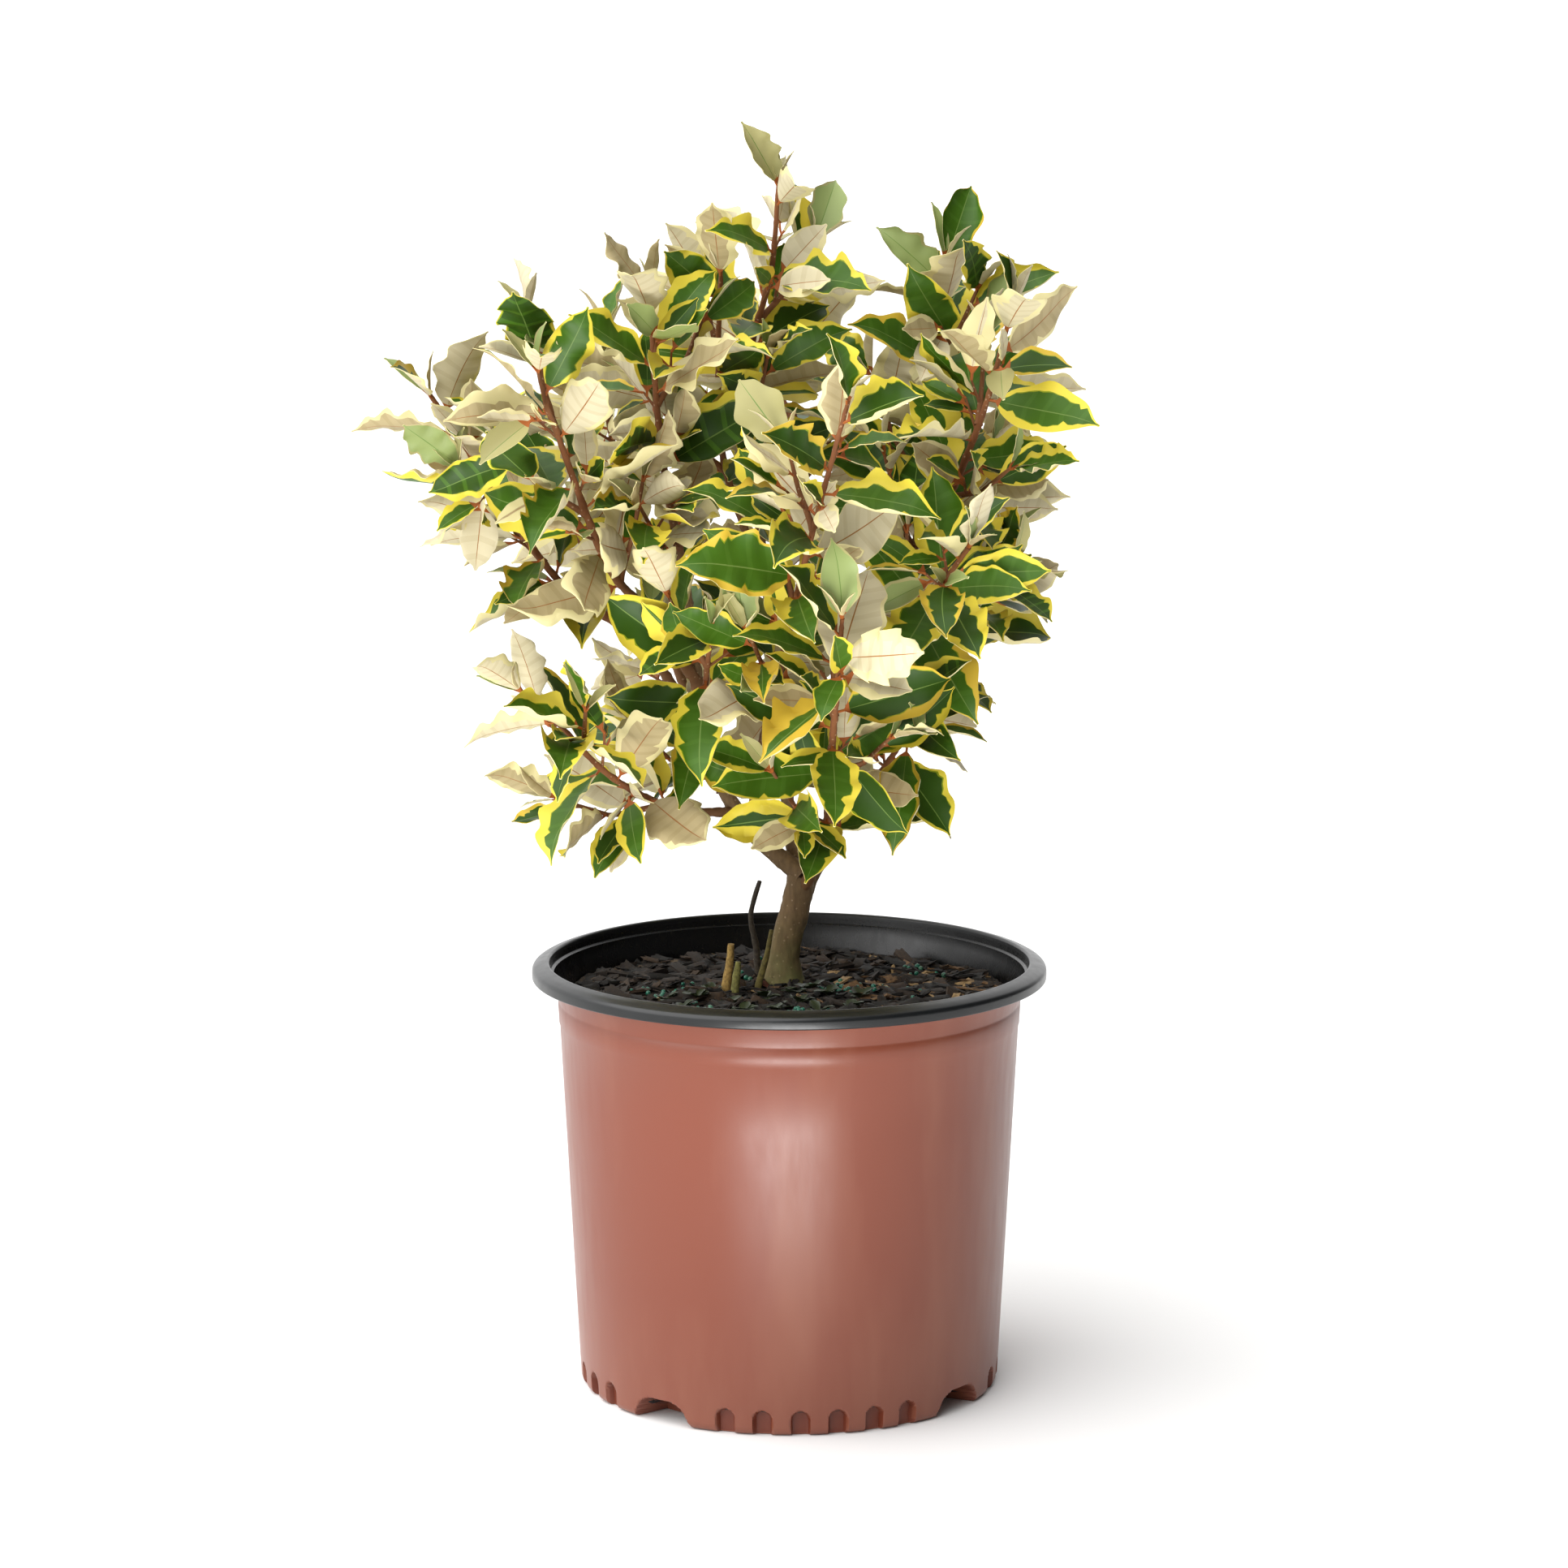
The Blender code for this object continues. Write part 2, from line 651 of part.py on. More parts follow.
def leaf_samples(leaf):
    """Points over the blade of a leaf, from near its root to its tip."""
    root, along, face, length, width, droop, fold = leaf
    side = along.cross(face).normalized()
    points = []
    for step in range(2, 13):
        share = step / 12
        half = width * 0.5 * math.sqrt(max(0.0, 1 - (share * 2 - 1.1) ** 2 / 1.21))
        middle = root + along * length * share - face * droop * length * share ** 2
        for way in (-1, -0.6, -0.2, 0.2, 0.6, 1):
            points.append(middle + side * way * half + face * fold * abs(way) * half)
    return np.array(points)


def distances(points, starts, ends, radii):
    """The least distance from the points to the surface of each tapering segment."""
    spans = ends - starts
    offsets = points[:, None, :] - starts[None]
    share = np.clip((offsets * spans).sum(2) / (spans * spans).sum(1), 0, 1)
    nearest = starts[None] + share[..., None] * spans[None]
    return (np.linalg.norm(points[:, None, :] - nearest, axis=2) - radii).min(axis=0)


class Crown:
    """Everything grown so far: the wood as segments, and the leaves of each mass."""

    def __init__(self):
        self.starts = np.zeros((0, 3))
        self.ends = np.zeros((0, 3))
        self.radii = np.zeros(0)
        self.owners = np.zeros(0, int)
        self.lows = np.zeros((0, 3))
        self.highs = np.zeros((0, 3))
        self.trees = []

    def add_wood(self, line, radii, owner):
        self.starts = np.vstack([self.starts, np.array(line[:-1])])
        self.ends = np.vstack([self.ends, np.array(line[1:])])
        self.radii = np.append(self.radii, [max(pair) for pair in zip(radii, radii[1:])])
        self.owners = np.append(self.owners, [owner] * (len(line) - 1))

    def clear_of_wood(self, points, spare=None):
        """True if the points stay clear of all wood apart from that of one mass."""
        reach = self.radii[:, None] + LIMB_CLEAR
        lows = np.minimum(self.starts, self.ends) - reach
        highs = np.maximum(self.starts, self.ends) + reach
        near = ((lows < points.max(axis=0)) & (highs > points.min(axis=0))).all(axis=1)
        near &= self.owners != spare
        if not near.any():
            return True
        return distances(points, self.starts[near], self.ends[near], self.radii[near]).min() > LIMB_CLEAR

    def clear_of_leaves(self, leaf):
        corners = leaf_corners(leaf, LEAF_CLEAR)
        cloud = np.array(corners)
        low = cloud.min(axis=0)
        high = cloud.max(axis=0)
        near = np.nonzero(((self.lows < high) & (self.highs > low)).all(axis=1))[0]
        tree = BVHTree.FromPolygons(corners, LEAF_FACES)
        return not any(tree.overlap(self.trees[i]) for i in near)

    def clear_of_twig(self, points):
        """True if no leaf lies within a twig's reach of the points."""
        inside = (self.lows < points.max(axis=0)) & (self.highs > points.min(axis=0))
        near = np.nonzero(inside.all(axis=1))[0]
        reach = TWIG_RADIUS + LIMB_CLEAR
        return not any(self.trees[i].find_nearest(Vector(point), reach)[0] for i in near for point in points)

    def add_leaf(self, leaf):
        corners = leaf_corners(leaf)
        cloud = np.array(corners)
        self.lows = np.vstack([self.lows, cloud.min(axis=0)])
        self.highs = np.vstack([self.highs, cloud.max(axis=0)])
        self.trees.append(BVHTree.FromPolygons(corners, LEAF_FACES))


def twig_radii(line):
    return [TWIG_RADIUS * (1 - TWIG_TAPER * i / (len(line) - 1)) for i in range(len(line))]


def grow_twigs(stem, chance, crown, owner):
    """Side twigs that leave the stem by turns, curve upwards, and stay in the mass's space."""
    length = lengths_along(stem)[-1]
    count = max(1, round(length * (TWIG_LAST - TWIG_FIRST) / TWIG_SPACING) + 1)
    first = chance.uniform(0, 360)
    axis = np.array(stem)
    twigs = []
    for i in range(count):
        share = TWIG_FIRST + (TWIG_LAST - TWIG_FIRST) * i / max(1, count - 1)
        foot, onward = place_at(stem, share)
        for attempt in range(TWIG_TRIES):
            sway = chance.uniform(-TWIG_TURN_SWAY, TWIG_TURN_SWAY)
            turn = first + TURN * i + sway + TWIG_NEXT_TURN * attempt
            lean = math.radians(TWIG_LEAN + chance.uniform(-TWIG_SWAY, TWIG_SWAY))
            away = (onward * math.cos(lean) + across(onward, turn) * math.sin(lean)).normalized()
            reach = TWIG_LENGTH * (1.1 - TWIG_SHORTENS * share) * chance.uniform(*TWIG_SPREAD)
            middle = foot + away * reach * 0.5
            tip = middle + (away + UP * 0.5).normalized() * reach * 0.5
            line = smooth_line([foot, middle, tip], 0.030)
            cloud = np.array(stretch_of(line, TWIG_CLEAR_FROM, 1.0, TWIG_TEST_STEP))
            inside = distances(cloud, axis[:-1], axis[1:], 0.0).min() < REACH
            if inside and crown.clear_of_wood(cloud, owner) and crown.clear_of_twig(cloud):
                twigs.append(line)
                crown.add_wood(line, twig_radii(line), owner)
                break
    return twigs


def light_from(turn):
    """The direction of the light, from a heading that starts at the viewer's side and a fixed height."""
    turn = math.radians(turn)
    level = math.sqrt(1 - LIGHT_LEVEL ** 2)
    return Vector((level * math.sin(turn), -level * math.cos(turn), LIGHT_LEVEL))


def leaf_at(line, share, turn, size, chance, lean, light):
    """One leaf on a twig: it leaves at a lean from the twig, its upper side towards the tip and the light."""
    root, onward = place_at(line, share)
    lean = math.radians(lean + chance.uniform(-LEAF_SWAY, LEAF_SWAY))
    along = (onward * math.cos(lean) + across(onward, turn) * math.sin(lean)).normalized()
    along = (along - UP * chance.uniform(0.0, LEAF_SAG)).normalized()
    face = onward * FACES_TIP + light
    face = (face - along * face.dot(along)).normalized()
    face = Matrix.Rotation(math.radians(chance.gauss(0, LEAF_ROLL)), 3, along) @ face
    length = size * chance.uniform(*LENGTH_SPREAD)
    width = length * LEAF_ASPECT * chance.uniform(*WIDTH_SPREAD)
    droop = chance.uniform(*DROOPS)
    fold = chance.uniform(*FOLDS)
    return root, along, face, length, width, droop, fold


def place_leaf(make, owner, crown, leaves):
    """Tries a leaf up to ten times, each time turned further, and keeps the first that stays clear."""
    for attempt in range(LEAF_TRIES):
        leaf = make(attempt)
        samples = leaf_samples(leaf)
        low = samples[:, 2].min() < MIX_LEVEL + LEAF_FLOOR
        blade = samples[BLADE_FROM:]
        if low or not (crown.clear_of_wood(blade) and crown.clear_of_wood(samples, owner)):
            continue
        if crown.clear_of_leaves(leaf):
            crown.add_leaf(leaf)
            leaves.append(leaf)
            return


def grow_leaves(line, start, big, light, chance, owner, crown, leaves):
    """A tuft of small leaves at a twig's tip, then leaves down it, one a node, by turns of the same angle."""
    length = lengths_along(line)[-1]
    first = chance.uniform(0, 360)
    for i in range(TUFT):
        size = TIP_LEAF_LENGTH * (1 + TUFT_GROWS * i)

        def in_tuft(attempt):
            turn = first + 360 * i / TUFT + TUFT_FIRST_TURN + chance.uniform(-TUFT_SWAY, TUFT_SWAY)
            return leaf_at(line, TUFT_SHARE, turn + TUFT_NEXT_TURN * attempt, size, chance, TUFT_LEAN, light)

        place_leaf(in_tuft, owner, crown, leaves)
    count = max(2, round(length * (1 - start) / INTERNODE))
    for i in range(1, count + 1):
        share = 1 - (1 - start) * i / count
        left = (1 - share) * length
        size = TIP_LEAF_LENGTH + (big - TIP_LEAF_LENGTH) * min(1.0, left / FULL_SIZE_AT)
        lean = TIP_LEAN + MORE_LEAN * min(1.0, left / FULL_LEAN_AT)

        def at_node(attempt):
            turn = first + TURN * i + chance.uniform(-NODE_SWAY, NODE_SWAY) * (1 + attempt * NODE_NEXT_SWAY)
            return leaf_at(line, share, turn, size, chance, lean, light)

        place_leaf(at_node, owner, crown, leaves)


def grow_mass(owner, name, line, crown):
    """The stem, twigs and leaves of one mass."""
    bare, light, seed = LIMBS[name][4:7]
    chance = random.Random(seed)
    total = lengths_along(line)[-1]
    stem = stretch_of(line, bare + STEM_GAP / total, 1.0, STEM_STEP)
    twigs = grow_twigs(stem, chance, crown, owner)
    leaves = []
    first = FIRST_LEAF / lengths_along(stem)[-1]
    grow_leaves(stem, first, LEAF_LENGTH, light_from(light), chance, owner, crown, leaves)
    for twig in twigs:
        size = LEAF_LENGTH * TWIG_LEAF_SIZE
        grow_leaves(twig, TWIG_LEAF_SHARE, size, light_from(light), chance, owner, crown, leaves)
    return stem, twigs, leaves


def bare_crown(lines):
    """The crown before its twigs and leaves: the trunk and every limb to its tip."""
    crown = Crown()
    trunk = lines["trunk"]
    crown.add_wood(trunk, [trunk_radius(place.z) for place in trunk], -1)
    for owner, name in enumerate(LIMBS):
        line = stretch_of(lines[name], 0.0, 1.0, WOOD_TEST_STEP)
        radii = [limb_radius(name, i / (len(line) - 1)) for i in range(len(line))]
        crown.add_wood(line, radii, owner)
    return crown


def grow_crown(lines):
    """The twigs and leaves of every mass, worked out limb by limb."""
    crown = bare_crown(lines)
    return {name: grow_mass(owner, name, lines[name], crown) for owner, name in enumerate(LIMBS)}


# Solids of the masses

def leaf_solid(name, leaf, collection):
    mesh = bpy.data.meshes.new(name)
    mesh.from_pydata([tuple(corner) for corner in leaf_corners(leaf)], [], LEAF_FACES)
    outward(mesh)
    return add_object(name, mesh, collection)


def mass_solid(name, mass, lines, parts, look):
    """One mass: its stem, twigs and leaves joined by one union on a collection."""
    stem, twigs, leaves = mass
    pieces = new_collection(name + "_pieces")
    bare = LIMBS[name][4]
    radii = [limb_radius(name, bare + (1 - bare) * i / (len(stem) - 1)) for i in range(len(stem))]
    made = tube(name + "_leaves", stem, radii, TWIG_SIDES, parts)
    for i, twig in enumerate(twigs):
        tube(f"twig_{i}", twig, twig_radii(twig), TWIG_SIDES, pieces)
    for i, leaf in enumerate(leaves):
        leaf_solid(f"leaf_{i}", leaf, pieces)
    boolean(made, pieces, "UNION", "MANIFOLD")
    made = frozen(made, FINE_MERGE)
    drop(list(pieces.objects))
    bpy.data.collections.remove(pieces)
    keep_largest(made.data)
    finish(made, look)
    return made


def make_masses(masses, lines, parts):
    look = material("variegated_leaf", (0.11, 0.19, 0.035), 0.45)
    for name, mass in masses.items():
        mass_solid(name, mass, lines, parts, look)


# The dead twig and the stubs

def make_stubs(parts):
    grey = material("dead_bark", (0.13, 0.12, 0.10), 0.9)
    green = material("cut_stub", (0.24, 0.20, 0.07), 0.8)
    stubs = {"dead_twig": (DEAD_TWIG, grey)}
    stubs.update({name: (stub, green) for name, stub in STUBS.items()})
    for name, ((places, radius), look) in stubs.items():
        line = [Vector(place) * MM for place in places]
        line = [line[0] - UP * STUB_SINK] + line
        radii = [radius * MM * (1.1 - TWIG_TAPER * i / (len(line) - 1)) for i in range(len(line))]
        stub = tube(name, line, radii, STUB_SIDES, parts)
        cut_flat(stub, MIX_LEVEL + GAP)
        finish(stub, look)


def build():
    clear_scene()
    parts = new_collection("potted_elaeagnus")
    cutters = new_collection("cutters")
    make_pot(parts, cutters)
    make_mix(parts, cutters)
    lines = limb_lines()
    make_limbs(lines, parts, cutters)
    make_stubs(parts)
    masses = grow_crown(lines)
    make_masses(masses, lines, parts)
    print(sum(len(mass[2]) for mass in masses.values()), "leaves")


build()
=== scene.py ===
# %% [markdown]
# # A potted variegated elaeagnus
#
# This lesson dresses a young evergreen shrub in its nursery pot. The plain solids come from the frame,
# which also gives the pot's size. Over them we model the fine surface: a moulded pot, loose potting
# mix, bark with relief, and several hundred wavy leaves that grow by the same rule as the plain ones.

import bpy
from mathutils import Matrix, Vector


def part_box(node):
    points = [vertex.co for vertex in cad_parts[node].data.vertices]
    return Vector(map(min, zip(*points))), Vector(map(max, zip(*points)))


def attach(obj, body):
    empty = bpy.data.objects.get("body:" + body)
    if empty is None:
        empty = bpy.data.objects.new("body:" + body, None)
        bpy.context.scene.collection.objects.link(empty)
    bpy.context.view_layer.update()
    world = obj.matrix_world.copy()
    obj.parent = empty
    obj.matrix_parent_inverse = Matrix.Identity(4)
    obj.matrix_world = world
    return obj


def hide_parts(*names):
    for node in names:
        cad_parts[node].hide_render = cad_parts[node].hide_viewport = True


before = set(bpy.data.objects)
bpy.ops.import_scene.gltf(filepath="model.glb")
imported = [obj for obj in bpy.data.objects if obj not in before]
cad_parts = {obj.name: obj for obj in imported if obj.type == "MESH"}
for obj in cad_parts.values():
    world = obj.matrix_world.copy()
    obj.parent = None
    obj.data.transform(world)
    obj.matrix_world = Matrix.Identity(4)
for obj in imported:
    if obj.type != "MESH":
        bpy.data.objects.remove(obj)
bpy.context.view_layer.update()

# %% [markdown]
# Blender's own modules come next. bmesh shapes the pieces, numpy bends many leaves at once, and a
# bounding volume tree tells whether two leaves touch. All sizes are in metres, with a short name for
# a millimetre, because a gardener measures a leaf in those.

# %% Modules and units
import math
import random

import bmesh
import bpy
import numpy as np
from mathutils import Matrix, Vector, noise
from mathutils.bvhtree import BVHTree

MM = 0.001
GAP = 0.3 * MM
UP = Vector((0, 0, 1))
pot_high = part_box("pot")[1]
POT_HEIGHT = pot_high.z
RIM_OUTER = pot_high.x
print("pot", round(POT_HEIGHT / MM), "mm high,", round(2 * RIM_OUTER / MM), "mm over the rim")

# %% [markdown]
# The photograph was taken from a little above the pot's rim with a long lens, so the rim is a flat
# ellipse and the sides hardly converge. The focal length in pixels, the eye's place and its dip were
# found from the rim's ellipse and the foot's curve. The lens value follows from them.

# %% Camera
PHOTO_SIDE = 1932
PHOTO_FOCUS = 5600
SENSOR = 36.0
EYE = (-0.003, -2.53, 0.768)
EYE_DIP = 9.5


def add_camera():
    """The photograph's camera, in its place."""
    data = bpy.data.cameras.new("camera")
    data.sensor_width = SENSOR
    data.lens = PHOTO_FOCUS / PHOTO_SIDE * SENSOR
    camera = bpy.data.objects.new("camera", data)
    camera.location = EYE
    camera.rotation_euler = (math.radians(90 - EYE_DIP), 0, 0)
    bpy.context.scene.collection.objects.link(camera)
    bpy.context.scene.camera = camera
    return camera


camera = add_camera()
print("lens", round(camera.data.lens, 1), "mm")

# %% [markdown]
# Colours are written as sRGB hex values, as a paint chart or a picture editor gives them, and one
# function turns them to the linear values that the renderer adds up. A second small function adds any
# shader node with its settings and links, and a third starts a material with its constant values.

# %% Colour and node helpers
def linear(code):
    """An sRGB hex colour as linear red, green, blue and alpha."""
    values = [int(code[i:i + 2], 16) / 255 for i in (0, 2, 4)]
    return tuple(v / 12.92 if v <= 0.04045 else ((v + 0.055) / 1.055) ** 2.4 for v in values) + (1.0,)


def add_node(tree, kind, settings=None, links=None):
    """A new node: settings name its properties or sockets, links its sockets and what feeds them."""
    node = tree.nodes.new("ShaderNode" + kind)
    for name, value in (settings or {}).items():
        if isinstance(name, int) or name in node.inputs:
            node.inputs[name].default_value = value
        else:
            setattr(node, name, value)
    for name, source in (links or {}).items():
        tree.links.new(source, node.inputs[name])
    return node


def new_material(name, code, roughness, **constants):
    """A material whose colour, roughness and other constants sit on the shader's own sockets."""
    made = bpy.data.materials.new(name)
    made.use_nodes = True
    shader = made.node_tree.nodes["Principled BSDF"]
    shader.inputs["Base Color"].default_value = linear(code)
    shader.inputs["Roughness"].default_value = roughness
    for key, value in constants.items():
        shader.inputs[key.replace("_", " ")].default_value = value
    return made, made.node_tree, shader


print("linear mid grey", [round(v, 3) for v in linear("808080")[:3]])

# %% [markdown]
# The plant stands on a plain pale floor in a white studio. The world gives an even fill, as white walls
# do, and is darker on the right, where the studio is open. A broad bank of lamps at the upper left gives
# the leaves and the pot their bright and shaded sides. A white panel lies on the floor before the pot,
# just out of the picture, and draws the broad upright gloss on it.

# %% Floor, world and lights
FLOOR_RADIUS = 14.0
FLOOR_SINK = 0.2 * MM
WORLD_LIGHT = 1.42
WORLD_SHADE = 0.08
OPEN_SIDE = (0.95, -0.35, 0.0)
KEY_FROM = (-0.55, -0.38, 0.80)
KEY_SPREAD = 85.0
KEY_POWER = 3.0
PANEL_PLACE = (-0.03, -0.72, 0.01)
PANEL_SIZE = (0.39, 0.52)
PANEL_POWER = 8.0


def add_floor():
    """A wide disc of matt white card, a hair below the pot's underside."""
    shape = bmesh.new()
    bmesh.ops.create_circle(shape, cap_ends=True, segments=96, radius=FLOOR_RADIUS)
    bmesh.ops.translate(shape, vec=(0, 0, -FLOOR_SINK), verts=shape.verts)
    mesh = bpy.data.meshes.new("floor")
    shape.to_mesh(mesh)
    shape.free()
    floor = bpy.data.objects.new("floor", mesh)
    bpy.context.scene.collection.objects.link(floor)
    mesh.materials.append(new_material("matt_white_card", "ECECEB", 0.9)[0])


def add_light(name, kind, power, shines_from, place=(0, 0, 0)):
    """A light that the camera doesn't see, turned so that it shines from a direction."""
    data = bpy.data.lights.new(name, kind)
    data.energy = power
    light = bpy.data.objects.new(name, data)
    light.location = place
    light.rotation_euler = Vector(shines_from).to_track_quat("Z", "Y").to_euler()
    light.visible_camera = False
    bpy.context.scene.collection.objects.link(light)
    return data


def add_lights():
    """The bank of lamps at the upper left and the panel on the floor."""
    key = add_light("lamp_bank", "SUN", KEY_POWER, KEY_FROM)
    key.angle = math.radians(KEY_SPREAD)
    panel = add_light("floor_panel", "AREA", PANEL_POWER, (0, 0, -1), PANEL_PLACE)
    panel.shape = "RECTANGLE"
    panel.size, panel.size_y = PANEL_SIZE


def add_world():
    """The studio's even light, which fades towards its open side."""
    world = bpy.data.worlds.new("studio")
    world.use_nodes = True
    tree = world.node_tree
    way = add_node(tree, "TexCoord").outputs["Generated"]
    side = add_node(tree, "VectorMath", {"operation": "DOT_PRODUCT", 1: OPEN_SIDE}, {0: way}).outputs["Value"]
    fade = add_node(tree, "MapRange", {1: 0.0, 2: 0.5, 3: WORLD_LIGHT, 4: WORLD_SHADE}, {"Value": side})
    tree.links.new(fade.outputs["Result"], tree.nodes["Background"].inputs["Strength"])
    tree.nodes["Background"].inputs["Color"].default_value = linear("FFFFFF")
    bpy.context.scene.world = world


add_floor()
add_world()
add_lights()
bpy.context.scene.view_settings.view_transform = "Standard"
print("key spread", KEY_SPREAD, "degrees")

# %% [markdown]
# Small shapes that repeat, such as leaves and chips, are made once with bmesh, read as arrays, and
# bent or placed many times. A batch gathers the copies and makes them one mesh. Every finished piece
# rides on the root body and takes the place of the plain solids that it dresses.

# %% Piece helpers
SHARP_ANGLE = 50.0


def arrays_of(shape):
    """A bmesh's points and its faces, which all have as many corners, as arrays. Frees the bmesh."""
    shape.verts.index_update()
    points = np.array([vert.co for vert in shape.verts])
    faces = np.array([[vert.index for vert in face.verts] for face in shape.faces])
    shape.free()
    return points, faces


class Batch:
    """Many small shapes that become one mesh, with a material zone for each face."""

    def __init__(self):
        self.points, self.faces, self.zones = [], [], []
        self.count = 0

    def add(self, points, faces, zones=0):
        """One more shape, with a zone for all its faces or one for each."""
        self.points.append(points)
        self.faces.append(faces + self.count)
        self.zones.append(np.broadcast_to(zones, len(faces)))
        self.count += len(points)

    def mesh(self, name):
        """All the shapes as one mesh."""
        made = bpy.data.meshes.new(name)
        faces = np.vstack(self.faces)
        made.from_pydata(np.vstack(self.points).tolist(), [], faces.tolist())
        made.polygons.foreach_set("material_index", np.concatenate(self.zones).astype(np.int32))
        return made


def add_piece(name, mesh, looks, nodes):
    """Puts a finished mesh in the scene with its materials, its body and what it replaces."""
    for look in looks:
        mesh.materials.append(look)
    mesh.shade_smooth()
    mesh.set_sharp_from_angle(angle=math.radians(SHARP_ANGLE))
    piece = bpy.data.objects.new(name, mesh)
    bpy.context.scene.collection.objects.link(piece)
    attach(piece, "root")
    if nodes:
        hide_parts(*nodes)
    mesh.calc_loop_triangles()
    print(name, len(mesh.loop_triangles), "triangles")
    return piece


print("sharp over", SHARP_ANGLE, "degrees")


# %% [markdown]
# ## The nursery pot
#
# A nursery pot is injection moulded from polypropylene: one thin wall, a rolled rim that stiffens it, a
# flare and a band under the rim, and a foot of four lobes. Flutes stiffen each lobe, and a scooped
# notch between two lobes lets water out. It could be turned with a Screw modifier, but bmesh's spin
# gives the whole closed wall at once and lets us push its points in afterwards. The profile is written
# once as radius and height, outside from the top down and back up inside.

# %% The pot's profile
WALL = 1.6 * MM
POT_FLOOR = 3.0 * MM
RIM_INNER = RIM_OUTER - 10.0 * MM
BODY_TOP = RIM_OUTER - 15.0 * MM
BODY_FOOT = RIM_OUTER - 26.5 * MM
FOOT_ROUND = 4.0 * MM
NECK = POT_HEIGHT - 22.0 * MM
BAND_LOW = POT_HEIGHT - 35.0 * MM
BAND_STEP = 0.45 * MM
FOOT_ROW = 1.0 * MM
FOOT_TOP = 30.0 * MM
FOOT_WALL = 6.4 * MM
FOOT_INNER = 80.0 * MM
UNDER_INNER = 90.0 * MM
UNDER_ROWS = 14
FLAT_INNER = 92.0 * MM


def body_radius(height):
    """The outer radius of the wall, which narrows towards the foot."""
    return BODY_FOOT + (BODY_TOP - BODY_FOOT) * height / NECK


def arc(middle, radius, start, end, count):
    """Points on an arc, with angles in degrees from the outward direction towards up."""
    turns = [math.radians(start + (end - start) * i / count) for i in range(count + 1)]
    return [(middle[0] + radius * math.cos(a), middle[1] + radius * math.sin(a)) for a in turns]


def rim_profile():
    """Over the roll of the rim: the inner bead, the crown, the outer lip and the flare under it."""
    bead = arc((RIM_INNER + 1.5 * MM, POT_HEIGHT - 1.5 * MM), 1.5 * MM, 180, 60, 6)
    crown = [(RIM_INNER + 4.0 * MM, POT_HEIGHT - 0.5 * MM), (RIM_INNER + 6.4 * MM, POT_HEIGHT - 1.3 * MM)]
    shoulder = arc((RIM_OUTER - 3.2 * MM, POT_HEIGHT - 5.2 * MM), 3.2 * MM, 66, 0, 6)
    lip = arc((RIM_OUTER - 0.9 * MM, POT_HEIGHT - 8.4 * MM), 0.9 * MM, 0, -100, 4)
    tuck = [(BODY_TOP + 3.4 * MM, POT_HEIGHT - 9.9 * MM)]
    flare = [(BODY_TOP + 2.6 * MM, POT_HEIGHT - 11.6 * MM), (BODY_TOP + 1.5 * MM, POT_HEIGHT - 15.0 * MM),
             (BODY_TOP + 0.6 * MM, POT_HEIGHT - 19.0 * MM), (body_radius(NECK), NECK)]
    return bead + crown + shoulder + lip + tuck + flare


def band_profile():
    """The faint moulded band round the neck: a step out and a step in again."""
    rows = []
    for height, step in ((NECK - 1.2 * MM, 0), (NECK - 1.9 * MM, 1), (BAND_LOW + 0.7 * MM, 1), (BAND_LOW, 0)):
        rows.append((body_radius(height) + BAND_STEP * step, height))
    return rows


def foot_profile():
    """The foot in fine rows, so that flutes and notches can be pushed into it, and the underside."""
    count = round((FOOT_TOP - FOOT_ROUND) / FOOT_ROW)
    heights = [FOOT_TOP + (FOOT_ROUND - FOOT_TOP) * i / count for i in range(count + 1)]
    side = [(body_radius(height), height) for height in heights]
    corner = arc((body_radius(0) - FOOT_ROUND, FOOT_ROUND), FOOT_ROUND, -18, -90, 4)
    radii = np.linspace(body_radius(0) - FOOT_ROUND - 2 * MM, UNDER_INNER, UNDER_ROWS)
    under = [(radius, 0) for radius in radii]
    return side + corner + under + [(0, 0)]


def inner_profile():
    """The inside, from the middle of the floor up the wall to the ring under the rim."""
    low = [(0, POT_FLOOR), (FLAT_INNER, POT_FLOOR), (body_radius(0) - FOOT_WALL - 3 * MM, POT_FLOOR)]
    heights = np.linspace(POT_FLOOR + 3 * MM, FOOT_TOP, 12)
    wall = [(body_radius(height) - FOOT_WALL + 4.8 * MM * height / FOOT_TOP, height) for height in heights]
    upper = [(body_radius(height) - WALL, height) for height in (0.06, 0.12, 0.18, BAND_LOW, NECK)]
    ledge = [(RIM_INNER - 2.9 * MM, POT_HEIGHT - 12.5 * MM), (RIM_INNER - 2.2 * MM, POT_HEIGHT - 7.0 * MM),
             (RIM_INNER - 0.6 * MM, POT_HEIGHT - 6.2 * MM), (RIM_INNER - 0.2 * MM, POT_HEIGHT - 3.2 * MM)]
    return low + wall + upper + ledge


profile = rim_profile() + band_profile() + [(body_radius(h), h) for h in (0.17, 0.12, 0.07)]
profile += foot_profile() + inner_profile()
print(len(profile), "points round the section of the wall")

# %% [markdown]
# Spinning the profile gives a smooth pot. The flutes and notches are then pushed in: each point of the
# outer foot moves towards the axis by a depth that depends on its angle and its height. A smooth step
# rounds the edges, as the mould does. The sides of a notch lean together upwards, so that the pot leaves
# its mould. The inner wall gives way behind a notch by the same rule.

